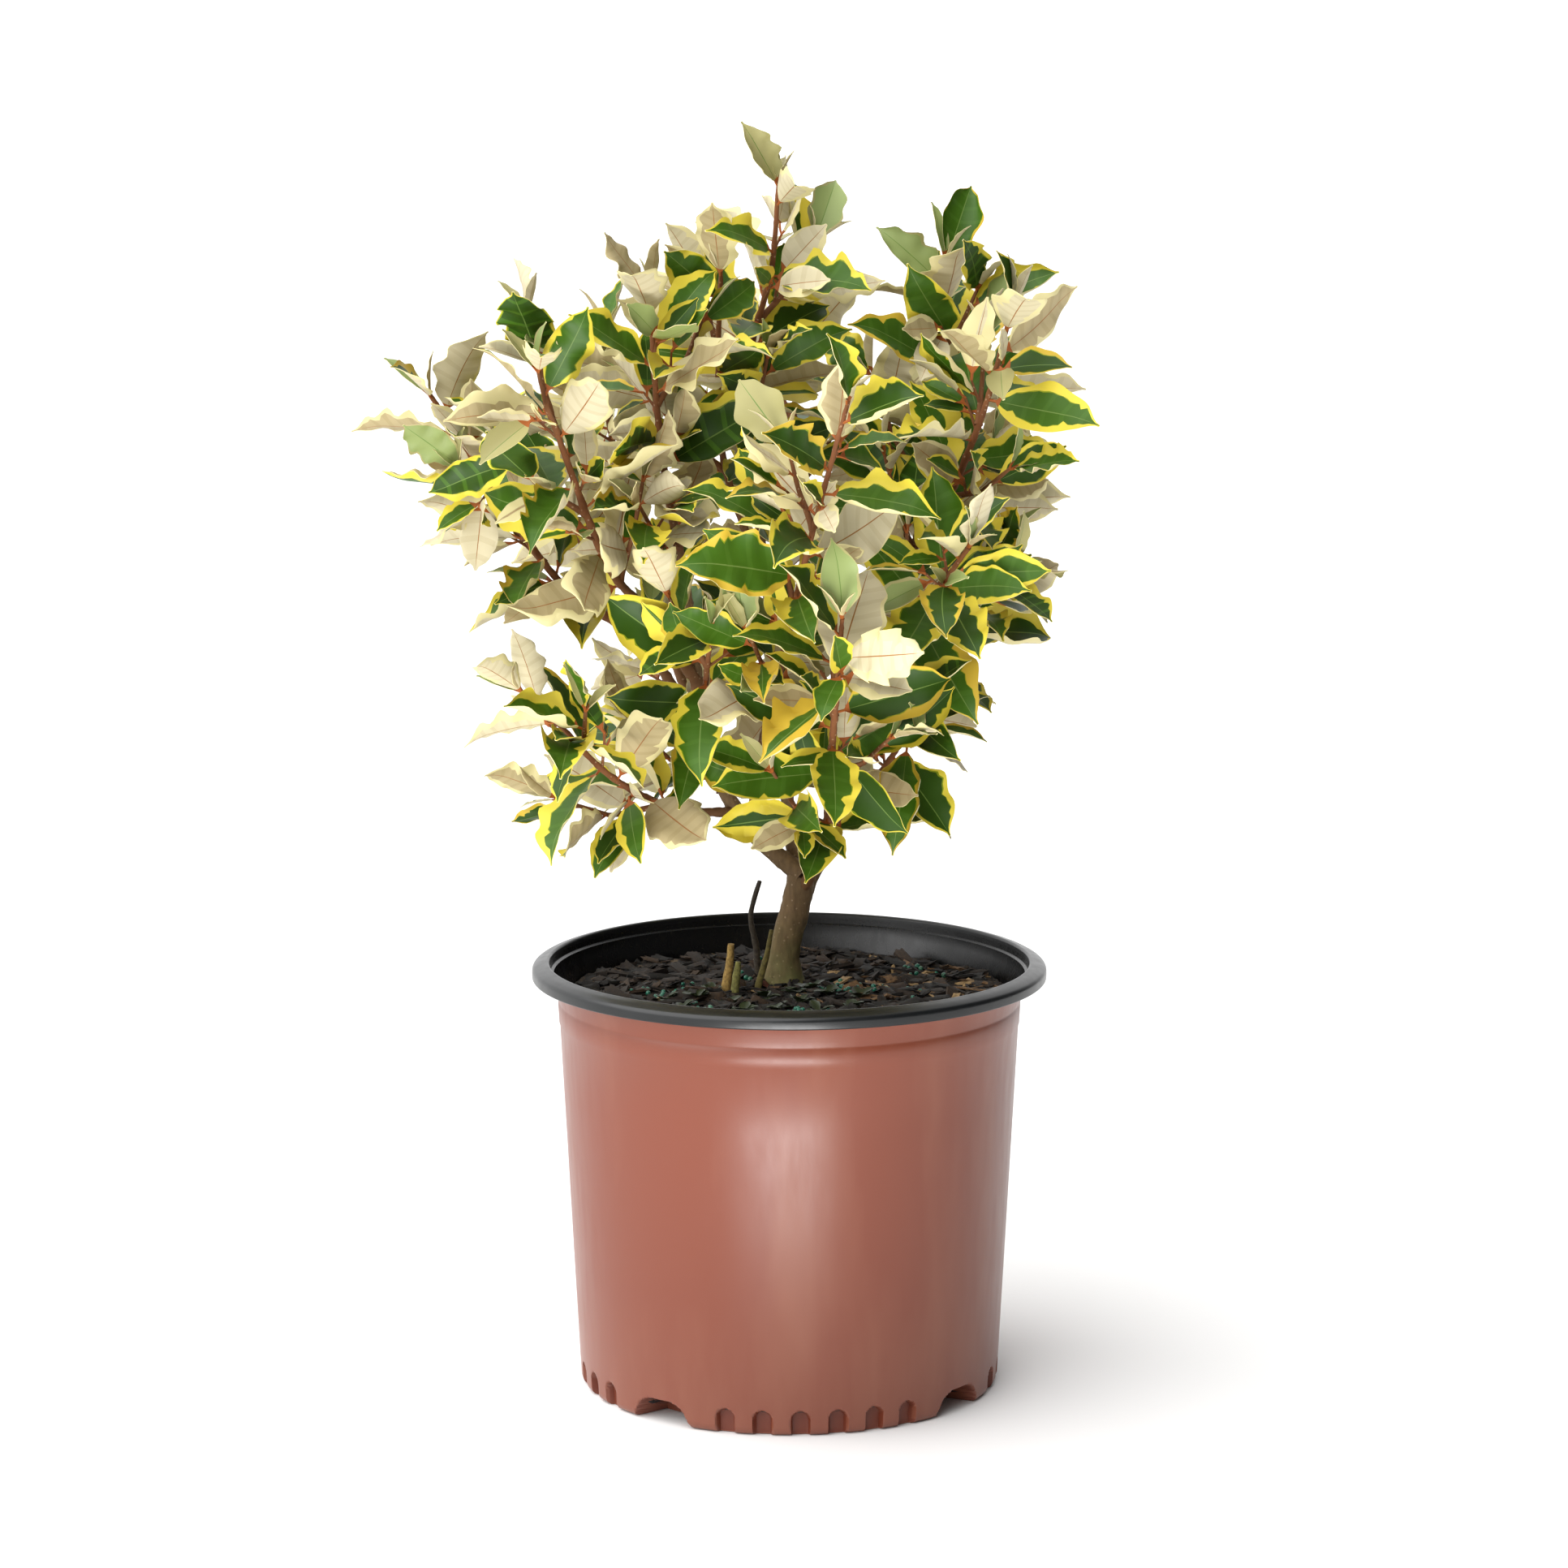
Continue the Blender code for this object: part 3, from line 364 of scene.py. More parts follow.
# %% Turn the pot and push in its flutes and notches
POT_STEPS = 840
NOTCH_FIRST = -37.0
NOTCH_HALF = 20.5 * MM
NOTCH_SLOPE = 0.55
NOTCH_ROUND = 6.0 * MM
NOTCH_EDGE = 2.6 * MM
NOTCH_HEIGHT = 13.5 * MM
NOTCH_DEPTH = 23.0 * MM
FLUTES = 6
FLUTE_PITCH = 10.1
FLUTE_HALF = 5.5 * MM
FLUTE_HEIGHT = 14.5 * MM
FLUTE_DEPTH = 4.4 * MM
FLUTE_EDGE = 1.1 * MM


def smooth_step(value):
    """From 0 to 1 with a soft start and end."""
    value = np.clip(value, 0, 1)
    return value * value * (3 - 2 * value)


def notch_depth(across, height, more):
    """How far a notch goes in at a distance from its middle and a height."""
    beside = (NOTCH_HALF - NOTCH_SLOPE * height - across) / math.hypot(1, NOTCH_SLOPE)
    under = NOTCH_HEIGHT - height
    corner = np.hypot(np.maximum(0, NOTCH_ROUND - beside), np.maximum(0, NOTCH_ROUND - under))
    return smooth_step((NOTCH_ROUND - corner + more) / NOTCH_EDGE) * (NOTCH_DEPTH + more)


def pushed_in(turn, height, more):
    """How far the foot's outside moves in at an angle (degrees) and a height, grown by more all round."""
    depth = np.zeros_like(turn)
    arm = math.radians(1) * BODY_FOOT
    for notch in range(4):
        middle = NOTCH_FIRST + 90 * notch
        across = np.abs((turn - middle + 180) % 360 - 180) * arm
        depth = np.maximum(depth, notch_depth(across, height, more))
        for flute in range(FLUTES):
            place = middle + 45 + FLUTE_PITCH * (flute - (FLUTES - 1) / 2)
            across = np.abs((turn - place + 180) % 360 - 180) * arm
            rise = np.maximum(0, height - FLUTE_HEIGHT + FLUTE_HALF)
            inside = smooth_step((FLUTE_HALF - np.hypot(across, rise)) / FLUTE_EDGE)
            depth = np.maximum(depth, inside * FLUTE_DEPTH * (more == 0))
    return depth


def spin_profile(places, steps):
    """A closed or open profile of (radius, height) turned once round Z."""
    shape = bmesh.new()
    verts = [shape.verts.new((radius, 0, height)) for radius, height in places]
    edges = [shape.edges.new(pair) for pair in zip(verts, verts[1:])]
    full = {"angle": 2 * math.pi, "steps": steps, "use_merge": True, "axis": (0, 0, 1), "cent": (0, 0, 0)}
    bmesh.ops.spin(shape, geom=verts + edges, **full)
    return shape


def make_pot_shape():
    """The spun wall with its flutes and notches pushed in."""
    shape = spin_profile(profile + profile[:1], POT_STEPS)
    bmesh.ops.remove_doubles(shape, verts=shape.verts, dist=0.01 * MM)
    bmesh.ops.dissolve_degenerate(shape, edges=shape.edges, dist=0.001 * MM)
    bmesh.ops.recalc_face_normals(shape, faces=shape.faces)
    low = [vert for vert in shape.verts if vert.co.z < FOOT_TOP and vert.co.xy.length > FOOT_INNER]
    points = np.array([vert.co for vert in low])
    radius = np.hypot(points[:, 0], points[:, 1])
    turn = np.degrees(np.arctan2(points[:, 0], -points[:, 1]))
    outside = radius > body_radius(0) - FOOT_WALL + 0.4 * MM
    flat = points[:, 2] < 0.05 * MM
    outer = outside | flat
    bare = body_radius(points[:, 2])
    pushed = bare - pushed_in(turn, points[:, 2], 0)
    behind = bare - WALL - pushed_in(turn, points[:, 2], WALL)
    limit = np.where(outer, pushed, behind)
    limit = np.where(flat, limit - 0.4 * FOOT_ROUND * (radius < bare - FOOT_ROUND + 0.1 * MM), limit)
    share = np.minimum(1, limit / radius)
    for vert, part in zip(low, share):
        vert.co.x *= part
        vert.co.y *= part
    return shape


pot_shape = make_pot_shape()
print(len(pot_shape.faces), "faces on the pot")

# %% [markdown]
# Polypropylene is satin, with an index near 1.49. The body is pigmented terracotta red, the rim is a
# co-moulded charcoal, and the inside is black. A real pot is never one flat colour: its pigment is a
# little uneven, it is scuffed where pots were nested, and it is dusty near the foot. One function makes
# every plastic from its colours, so that they share their grain.

# %% The pot's plastics
PLASTIC_IOR = 1.49
MOULD_GRAIN = 0.9 * MM
CLOUD_SIZE = 38.0 * MM
SCUFF_SIZE = 7.0 * MM


def moulded_plastic(name, code, worn_code, roughness, dust=0.0):
    """Polypropylene with faint clouds of pigment, fine grain, and upright scuffs that dull the gloss."""
    made, tree, shader = new_material(name, code, roughness, IOR=PLASTIC_IOR)
    place = add_node(tree, "TexCoord").outputs["Object"]
    stretch = add_node(tree, "Mapping", {"Scale": (1, 1, 0.22)}, {"Vector": place}).outputs["Vector"]
    cloud = add_node(tree, "TexNoise", {"Scale": 1 / CLOUD_SIZE, "Detail": 3.0}, {"Vector": stretch})
    scuff = add_node(tree, "TexNoise", {"Scale": 1 / SCUFF_SIZE, "Detail": 5.0}, {"Vector": stretch})
    ramp = add_node(tree, "MapRange", {1: 0.48, 2: 0.78, 3: 0.0, 4: 0.55}, {"Value": cloud.outputs["Fac"]})
    worn = ramp.outputs["Result"]
    if dust:
        height = add_node(tree, "SeparateXYZ", {}, {"Vector": place}).outputs["Z"]
        low = add_node(tree, "MapRange", {1: 0.0, 2: 0.075, 3: dust, 4: 0.0}, {"Value": height})
        patch = add_node(tree, "Math", {"operation": "MULTIPLY"},
                         {0: low.outputs["Result"], 1: scuff.outputs["Fac"]})
        total = add_node(tree, "Math", {"operation": "ADD", "use_clamp": True},
                         {0: worn, 1: patch.outputs[0]})
        worn = total.outputs[0]
    mix = add_node(tree, "Mix", {"data_type": "RGBA", 6: linear(code), 7: linear(worn_code)}, {0: worn})
    tree.links.new(mix.outputs[2], shader.inputs["Base Color"])
    dull = add_node(tree, "MapRange", {1: 0.35, 2: 0.75, 3: roughness, 4: roughness + 0.08},
                    {"Value": scuff.outputs["Fac"]})
    tree.links.new(dull.outputs["Result"], shader.inputs["Roughness"])
    grain = add_node(tree, "TexNoise", {"Scale": 1 / MOULD_GRAIN, "Detail": 2.0}, {"Vector": place})
    bump = add_node(tree, "Bump", {"Strength": 0.10, "Distance": 0.15 * MM}, {"Height": grain.outputs["Fac"]})
    tree.links.new(bump.outputs["Normal"], shader.inputs["Normal"])
    return made


terracotta = moulded_plastic("terracotta_polypropylene", "763C2A", "875440", 0.31, dust=0.6)
charcoal = moulded_plastic("charcoal_polypropylene", "0C0E0F", "1A1C1D", 0.28)
black_inside = moulded_plastic("black_polypropylene", "080808", "121212", 0.24)
# The hollows' terracotta is unscuffed plastic free of dust, and its darker colour is painted shade.
unscuffed_terracotta_and_painted_shade = moulded_plastic("unscuffed_terracotta_and_painted_shade_polypropylene", "6A301D", "743A26", 0.44)
pot_looks = (terracotta, charcoal, black_inside, unscuffed_terracotta_and_painted_shade)
print("pot plastics with index", PLASTIC_IOR)

# %% [markdown]
# Each face gets its plastic from where it lies: the roll of the rim is charcoal, what faces inwards is
# black, the hollows of the flutes take an unscuffed terracotta whose darker colour is painted shade,
# and the rest is scuffed terracotta. Four round drain holes go through the backs of the notches. A
# Boolean cuts them, because a round hole across a wall of quads has no simpler operator.

# %% Finish the pot
DRAINS = 4
DRAIN_RADIUS = 4.5 * MM
DRAIN_REACH = 20.0 * MM
DRAIN_HEIGHT = 0.55 * NOTCH_HEIGHT
DRAIN_SIDES = 32
RIM_UNDERSIDE = POT_HEIGHT - 10.2 * MM
HOLLOW_FROM = 1.6 * MM
HOLLOW_LOW = 0.5 * MM


def pot_zone(face):
    """Which plastic a face shows, counted in pot_looks: body, rim, inside or the hollow of a flute."""
    middle = face.calc_center_median()
    out = middle.xy.length
    if middle.z > RIM_UNDERSIDE and out > RIM_INNER - GAP:
        return 1
    faces_in = face.normal.xy.dot(middle.xy) < -0.3 * out
    faces_up = face.normal.z > 0.5
    if faces_in or faces_up and out < BODY_FOOT - FOOT_WALL:
        return 2
    # Faces in the hollows of the flutes take the unscuffed terracotta, whose darker colour is painted shade.
    in_hollow = HOLLOW_FROM < body_radius(middle.z) - out < FLUTE_DEPTH + MM
    return 3 if in_hollow and middle.z > HOLLOW_LOW else 0


def add_drain_cutter(turn):
    """A short round bar across the wall, at the back of the notch at a turn in degrees."""
    shape = bmesh.new()
    size = {"radius1": DRAIN_RADIUS, "radius2": DRAIN_RADIUS, "depth": DRAIN_REACH}
    bmesh.ops.create_cone(shape, cap_ends=True, segments=DRAIN_SIDES, **size)
    place = Vector((0, -(body_radius(0) - NOTCH_DEPTH), DRAIN_HEIGHT))
    turned = Matrix.Rotation(math.radians(turn), 4, "Z") @ Matrix.Translation(place)
    bmesh.ops.transform(shape, matrix=turned @ Matrix.Rotation(math.radians(90), 4, "X"), verts=shape.verts)
    mesh = bpy.data.meshes.new("drain")
    shape.to_mesh(mesh)
    shape.free()
    cutter = bpy.data.objects.new("drain", mesh)
    bpy.context.scene.collection.objects.link(cutter)
    return cutter


def finish_pot():
    """The pot with its plastics dealt out and its drain holes cut."""
    for face in pot_shape.faces:
        face.material_index = pot_zone(face)
    mesh = bpy.data.meshes.new("pot_wall")
    pot_shape.to_mesh(mesh)
    pot_shape.free()
    for look in pot_looks:
        mesh.materials.append(look)
    raw = bpy.data.objects.new("pot_raw", mesh)
    bpy.context.scene.collection.objects.link(raw)
    cutters = [add_drain_cutter(NOTCH_FIRST + 360 / DRAINS * i) for i in range(DRAINS)]
    for cutter in cutters:
        cut = raw.modifiers.new("Drain", "BOOLEAN")
        cut.solver = "MANIFOLD"
        cut.object = cutter
    bpy.context.view_layer.update()
    graph = bpy.context.evaluated_depsgraph_get()
    cut_mesh = bpy.data.meshes.new_from_object(raw.evaluated_get(graph))
    for used in [raw] + cutters:
        bpy.data.objects.remove(used)
    return add_piece("nursery_pot", cut_mesh, [], ["pot"])


finish_pot()

# %% [markdown]
# ## The potting mix
#
# The pot is filled with composted bark: a dark crumb with lumps, bark chips of many browns, and beads of
# coated fertiliser. The crumb is a turned disc whose top is pushed up and down by noise. Chips and beads
# could be particles, but only real meshes leave Blender with the pot. So one small chip and one bead are
# made with bmesh and copied as arrays, each copy with its own size, turn and colour.

# %% The crumb
MIX_LEVEL = 0.2255
MIX_RADIUS = BODY_TOP - WALL - 2 * GAP
MIX_BASE = 60.0 * MM
MIX_RINGS = 62
MIX_STEPS = 260
LUMP_SIZE = 17.0 * MM
LUMP_RISE = 2.6 * MM
CRUMB_SIZE = 4.2 * MM
CRUMB_RISE = 1.7 * MM
EDGE_FROM = 0.9
EDGE_FALL = 20.0 * MM
MIX_SINK = 1.4 * MM


def mix_height(x, y):
    """The height of the mix: broad lumps and a fine crumb, lower by the wall."""
    broad = noise.noise(Vector((x, y, 0.3)) / LUMP_SIZE) * LUMP_RISE
    fine = noise.turbulence(Vector((x, y, 1.7)) / CRUMB_SIZE, 3, False) * CRUMB_RISE
    edge = max(0.0, math.hypot(x, y) / MIX_RADIUS - EDGE_FROM) * EDGE_FALL
    return MIX_LEVEL + broad + fine - edge - MIX_SINK


def make_crumb():
    """A closed turned block whose top is pushed up and down."""
    radii = [MIX_RADIUS * i / MIX_RINGS for i in range(MIX_RINGS + 1)]
    places = [(radius, MIX_LEVEL) for radius in radii]
    places += [(body_radius(MIX_BASE) - WALL - GAP, MIX_BASE), (0, MIX_BASE)]
    shape = spin_profile(places, MIX_STEPS)
    bmesh.ops.remove_doubles(shape, verts=shape.verts, dist=0.01 * MM)
    bmesh.ops.recalc_face_normals(shape, faces=shape.faces)
    for vert in shape.verts:
        if vert.co.z > MIX_BASE + MM:
            vert.co.z = mix_height(vert.co.x, vert.co.y)
    mesh = bpy.data.meshes.new("crumb")
    shape.to_mesh(mesh)
    shape.free()
    return mesh


crumb_mesh = make_crumb()
print(len(crumb_mesh.polygons), "faces on the crumb")

# %% [markdown]
# Composted bark is matt and nearly black when moist, with lighter crumbs where it has dried. A Voronoi
# pattern at the size of a crumb picks the colours, and a bump gives each crumb its edge.

# %% The crumb's material
CRUMB_GRAIN = 3.2 * MM
CRUMB_COLOURS = ((0.0, "0E0B08"), (0.45, "18120C"), (0.72, "261C13"), (0.9, "3A2D1F"), (1.0, "554530"))


def composted_bark():
    """Moist composted bark: matt, each crumb with its own brown."""
    made, tree, shader = new_material("composted_bark_crumb", "1C150F", 0.92)
    place = add_node(tree, "TexCoord").outputs["Object"]
    crumbs = add_node(tree, "TexVoronoi", {"Scale": 1 / CRUMB_GRAIN}, {"Vector": place})
    shade = add_node(tree, "SeparateColor", {}, {"Color": crumbs.outputs["Color"]}).outputs[0]
    ramp = add_node(tree, "ValToRGB", {}, {"Fac": shade})
    for i, (at, code) in enumerate(CRUMB_COLOURS):
        stop = ramp.color_ramp.elements[i] if i < 2 else ramp.color_ramp.elements.new(at)
        stop.position = at
        stop.color = linear(code)
    tree.links.new(ramp.outputs["Color"], shader.inputs["Base Color"])
    bump = add_node(tree, "Bump", {"Strength": 0.7, "Distance": 1.0 * MM},
                    {"Height": crumbs.outputs["Distance"]})
    tree.links.new(bump.outputs["Normal"], shader.inputs["Normal"])
    return made


add_piece("bark_crumb", crumb_mesh, [composted_bark()], ["potting_mix"])

# %% [markdown]
# A chip of bark is a split flake, so the blank is a cube with its edges cut once and its points pushed
# out of true. Each copy is scaled to a real chip, four to twenty-six millimetres long, and laid on the
# mix with a small tilt. The lighter chips lie mostly on the right, as in the photograph.

# %% Chips of bark
CHIPS = 1250
CHIP_LENGTH = (4.0, 26.0)
CHIP_MOSTLY = 5.0
CHIP_WIDTH = (2.0, 7.0)
CHIP_THICK = (0.25, 0.5)
CHIP_WARP = 0.11
CHIP_TILT = 0.35
CHIP_ROLL = 0.22
CHIP_LIFT = 0.7 * MM
LIGHT_CHIPS = (3, 4)
LIGHT_ON_LEFT = 0.75
LIGHT_PER_X = 1.2
CHIP_COLOURS = {
    "bark_chip_black": "14100B",
    "bark_chip_brown": "21170D",
    "bark_chip_mid": "352515",
    "bark_chip_tan": "6A4F32",
    "bark_chip_dry": "967A52",
    "bark_chip_red": "6E3A2C",
}
CHIP_SHARES = (0.38, 0.27, 0.17, 0.12, 0.055, 0.005)


def chip_blank():
    """A cube cut once each way, thinner towards its edges and pushed out of true."""
    shape = bmesh.new()
    bmesh.ops.create_cube(shape, size=1.0)
    bmesh.ops.subdivide_edges(shape, edges=shape.edges[:], cuts=1, use_grid_fill=True)
    chance = random.Random(5)
    for vert in shape.verts:
        vert.co.z *= 1.0 - 0.5 * max(abs(vert.co.x), abs(vert.co.y))
        vert.co += Vector([chance.uniform(-CHIP_WARP, CHIP_WARP) for _ in range(3)])
    bmesh.ops.recalc_face_normals(shape, faces=shape.faces)
    return arrays_of(shape)


def scatter_place(chance, edge):
    """A place on the mix, evenly spread, that stays a length away from the pot's wall."""
    radius = (MIX_RADIUS - edge) * math.sqrt(chance.random())
    turn = chance.uniform(0, 2 * math.pi)
    return radius * math.sin(turn), -radius * math.cos(turn)


def lay(points, size, x, y, lift, turn, tilt):
    """Copies points scaled, tilted, turned and set on the mix."""
    spun = Matrix.Rotation(turn, 3, "Z") @ Matrix.Rotation(tilt[0], 3, "X") @ Matrix.Rotation(tilt[1], 3, "Y")
    return (points * size) @ np.array(spun).T + (x, y, mix_height(x, y) + lift)


def add_chips():
    """Chips all over the mix, with more of the light ones towards the right."""
    chance = random.Random(23)
    points, faces = chip_blank()
    chips = Batch()
    for _ in range(CHIPS):
        length = chance.triangular(*CHIP_LENGTH, CHIP_MOSTLY) * MM
        width = chance.uniform(*CHIP_WIDTH) * MM
        size = np.array((length, min(width, length * 0.8), width * chance.uniform(*CHIP_THICK)))
        x, y = scatter_place(chance, length * 0.6 + 1.5 * MM)
        zone = chance.choices(range(len(CHIP_SHARES)), CHIP_SHARES)[0]
        if zone in LIGHT_CHIPS and chance.random() < LIGHT_ON_LEFT - LIGHT_PER_X * x / MIX_RADIUS:
            zone = 1
        tilt = (chance.gauss(0, CHIP_TILT), chance.gauss(0, CHIP_ROLL))
        turn = chance.uniform(0, 2 * math.pi)
        chips.add(lay(points, size, x, y, CHIP_LIFT, turn, tilt), faces, zone)
    return chips


def dry_flake(name, code):
    """Split bark: matt, with a lighter and darker grain along it."""
    made, tree, shader = new_material(name, code, 0.88)
    place = add_node(tree, "TexCoord").outputs["Object"]
    grain = add_node(tree, "TexNoise", {"Scale": 1 / (1.6 * MM), "Detail": 3.0}, {"Vector": place})
    fade = add_node(tree, "MapRange", {1: 0.35, 2: 0.65, 3: 0.62, 4: 1.25}, {"Value": grain.outputs["Fac"]})
    tint = add_node(tree, "VectorMath", {"operation": "SCALE", 0: linear(code)[:3]},
                    {"Scale": fade.outputs["Result"]})
    tree.links.new(tint.outputs["Vector"], shader.inputs["Base Color"])
    bump = add_node(tree, "Bump", {"Strength": 0.5, "Distance": 0.4 * MM}, {"Height": grain.outputs["Fac"]})
    tree.links.new(bump.outputs["Normal"], shader.inputs["Normal"])
    return made


chip_looks = [dry_flake(name, code) for name, code in CHIP_COLOURS.items()]
add_piece("bark_chips", add_chips().mesh("chips"), chip_looks, ["potting_mix"])

# %% [markdown]
# Slow-release fertiliser is a resin-coated bead about three millimetres across, here grey-green to teal.
# A low sphere is enough at that size, and its satin coat gives each bead one small highlight.

# %% Beads of fertiliser
BEADS = 130
BEAD_SIZE = (2.4, 3.4)
BEAD_SPREAD = 7
BEAD_SHARES = (0.75, 0.20, 0.05)
BEAD_LIFT = 1.6 * MM
BEAD_NESTS = (
    (-78, -6), (-66, 10), (30, 4), (44, 14), (20, 18), (60, -4),
    (-20, 40), (8, -58), (-50, -50), (80, 50), (-10, 86),
)
BEAD_COLOURS = {"coated_bead_teal": "14604A", "coated_bead_grey": "3A6A52", "coated_bead_tan": "7A6338"}


def add_beads():
    """Beads in loose nests, as they fall from a spoon."""
    chance = random.Random(31)
    shape = bmesh.new()
    bmesh.ops.create_icosphere(shape, subdivisions=2, radius=0.5)
    points, faces = arrays_of(shape)
    beads = Batch()
    for _ in range(BEADS):
        nest = chance.choice(BEAD_NESTS)
        x = (nest[0] + chance.gauss(0, BEAD_SPREAD)) * MM
        y = (nest[1] + chance.gauss(0, BEAD_SPREAD)) * MM
        if math.hypot(x, y) < MIX_RADIUS - 4 * MM:
            size = chance.uniform(*BEAD_SIZE) * MM
            zone = chance.choices(range(3), BEAD_SHARES)[0]
            beads.add(lay(points, np.full(3, size), x, y, BEAD_LIFT, 0, (0, 0)), faces, zone)
    return beads


bead_looks = [new_material(name, code, 0.32)[0] for name, code in BEAD_COLOURS.items()]
add_piece("fertiliser_beads", add_beads().mesh("beads"), bead_looks, ["potting_mix"])

# %% [markdown]
# ## The wood
#
# The trunk leaves the mix with a small root flare and forks after six centimetres. Each limb is one
# tapering shoot that leaves its parent and curves up. The places that a limb passes are chosen from
# the photograph, and a smooth curve runs through them. The places are in millimetres.

# %% The limbs' places and sizes
# The trunk's line from the mix to its fork, and its radius at each place
TRUNK = ((-4, 30, 226), (-2, 30, 246), (4, 28, 270), (7, 26, 288))
TRUNK_RADII = (9.4, 8.6, 8.2, 7.8)
ROOT_FLARE = 3.6
FLARE_HEIGHT = 16.0

# Each limb: its parent and how far up that it leaves, the places it passes and its tip (mm), its radius
# at the foot (mm), how far along its leaves begin, where the light on its leaves comes from (degrees
# from the viewer's side towards +X), and the seed of its twigs.
LIMBS = {
    "front_low": ("trunk", 0.80, ((20, 2, 308), (22, -46, 356), (25, -95, 404), (28, -132, 456)),
                  3.5, 0.20, 20, 55),
    "front_centre": ("left_stem", 0.10, ((-18, -6, 356), (-8, -40, 402), (0, -70, 443), (12, -108, 498),
                                         (31, -130, 572)), 3.0, 0.36, 20, 117),
    "front_left": ("left_stem", 0.22, ((-47, -8, 385), (-46, -44, 412), (-42, -84, 446)),
                   2.6, 0.30, -20, 155),
    "right_middle": ("right_stem", 0.36, ((70, 2, 436), (84, -48, 464), (97, -80, 488)), 2.6, 0.30, 30, 217),
    "left_upper": ("left_stem", 0.36, ((-78, -14, 443), (-99, -42, 472), (-119, -66, 528), (-133, -62, 572),
                                       (-143, -52, 612)), 3.3, 0.32, 120, 33),
    "left_low": ("left_stem", 0.14, ((-66, 4, 330), (-101, -30, 355), (-127, -50, 386), (-147, -60, 406)),
                 2.7, 0.24, 150, 56),
    "left_stem": ("trunk", 1.0, ((-22, 32, 312), (-41, 34, 345), (-51, 28, 390), (-59, 4, 462),
                                 (-68, -20, 515), (-74, -29, 572), (-76, -30, 622)), 5.2, 0.56, 30, 184),
    "left_outer": ("left_stem", 0.27, ((-85, 26, 422), (-122, 14, 450), (-146, 0, 482), (-168, -12, 518),
                                       (-198, -24, 566)), 3.2, 0.30, 150, 83),
    "right_stem": ("trunk", 0.66, ((24, 42, 308), (36, 49, 342), (53, 50, 391), (67, 42, 446),
                                   (95, 2, 520), (109, -18, 562), (122, -30, 614)), 4.9, 0.52, 20, 32),
    "leader": ("trunk", 0.86, ((0, 44, 318), (-8, 52, 400), (-14, 51, 462), (-21, 41, 520),
                               (-22, 30, 583), (-10, 18, 632), (-6, 2, 682)), 4.4, 0.47, 40, 119),
    "leader_side": ("leader", 0.42, ((-36, 30, 520), (-40, 20, 575), (-38, 8, 630)), 2.5, 0.34, 150, 32),
    "right_inner": ("right_stem", 0.47, ((74, 52, 486), (78, 56, 535), (85, 53, 590), (88, 50, 636)),
                    2.7, 0.30, 30, 152),
    "right_outer": ("right_stem", 0.30, ((84, 36, 415), (104, 24, 440), (118, 10, 476)), 2.5, 0.28, 60, 103),
    "right_low": ("right_stem", 0.14, ((50, 16, 346), (62, -20, 372), (70, -50, 400)), 2.5, 0.26, 30, 178),
    "back_left": ("left_stem", 0.18, ((-72, 72, 420), (-94, 104, 480), (-104, 118, 540), (-106, 120, 588)),
                  3.2, 0.34, 210, 33),
    "back_centre": ("leader", 0.22, ((-6, 92, 452), (0, 120, 512), (4, 134, 562), (4, 138, 606)),
                    3.0, 0.32, 180, 4),
    "back_right": ("right_stem", 0.40, ((86, 86, 462), (100, 112, 512), (106, 122, 560), (108, 124, 592)),
                   2.9, 0.28, 150, 41),
    "back_low_left": ("left_stem", 0.05, ((-46, 74, 342), (-66, 104, 374), (-78, 118, 414)),
                      2.6, 0.30, 210, 21),
    "back_low_right": ("right_stem", 0.07, ((46, 84, 344), (62, 108, 378), (70, 118, 418)),
                       2.6, 0.30, 150, 55),
}
TIP_RADIUS = 1.25
LIMB_TAPER = 0.8
LIMB_LINE_STEP = 0.010
TRUNK_LINE_STEP = 0.006
WOOD_TEST_STEP = 0.012
print(len(LIMBS), "limbs on the trunk")

# %% [markdown]
# A Catmull-Rom curve passes through every place, so that a limb goes where it was seen. A few helpers
# read such a line: how long it is, where a share of its length lies, and a stretch of it in even steps.

# %% Lines
def smooth_line(places, step):
    """Points about one step apart on a smooth curve through the places."""
    places = [Vector(place) for place in places]
    ends = [2 * places[0] - places[1]] + places + [2 * places[-1] - places[-2]]
    line = [places[0]]
    for a, b, c, d in zip(ends, ends[1:], ends[2:], ends[3:]):
        count = max(1, round((c - b).length / step))
        for i in range(1, count + 1):
            t = i / count
            line.append(0.5 * (2 * b + (c - a) * t + (2 * a - 5 * b + 4 * c - d) * t * t
                               + (3 * b - a - 3 * c + d) * t ** 3))
    return line


def lengths_along(line):
    """The length of the line up to each of its points."""
    total = [0.0]
    for a, b in zip(line, line[1:]):
        total.append(total[-1] + (b - a).length)
    return total


def place_at(line, share):
    """The point and the direction at a share of the line's length."""
    total = lengths_along(line)
    wanted = min(max(share, 0.0), 1.0) * total[-1]
    for i in range(len(line) - 1):
        if total[i + 1] >= wanted - 1e-12:
            break
    part = (wanted - total[i]) / max(total[i + 1] - total[i], 1e-9)
    before = (line[i] - line[max(i - 1, 0)]) if i else (line[1] - line[0])
    here = line[i + 1] - line[i]
    direction = before.normalized() * (1 - part) + here.normalized()
    return line[i].lerp(line[i + 1], part), direction.normalized()


def stretch_of(line, start, end, step):
    """The line between two shares, as points about one step apart."""
    length = lengths_along(line)[-1] * (end - start)
    count = max(2, round(length / step))
    return [place_at(line, start + (end - start) * i / count)[0] for i in range(count + 1)]


def by_parent():
    """The limbs' names, each after its parent."""
    names = [name for name in LIMBS if LIMBS[name][0] == "trunk"]
    return names + [name for name in LIMBS if name not in names]


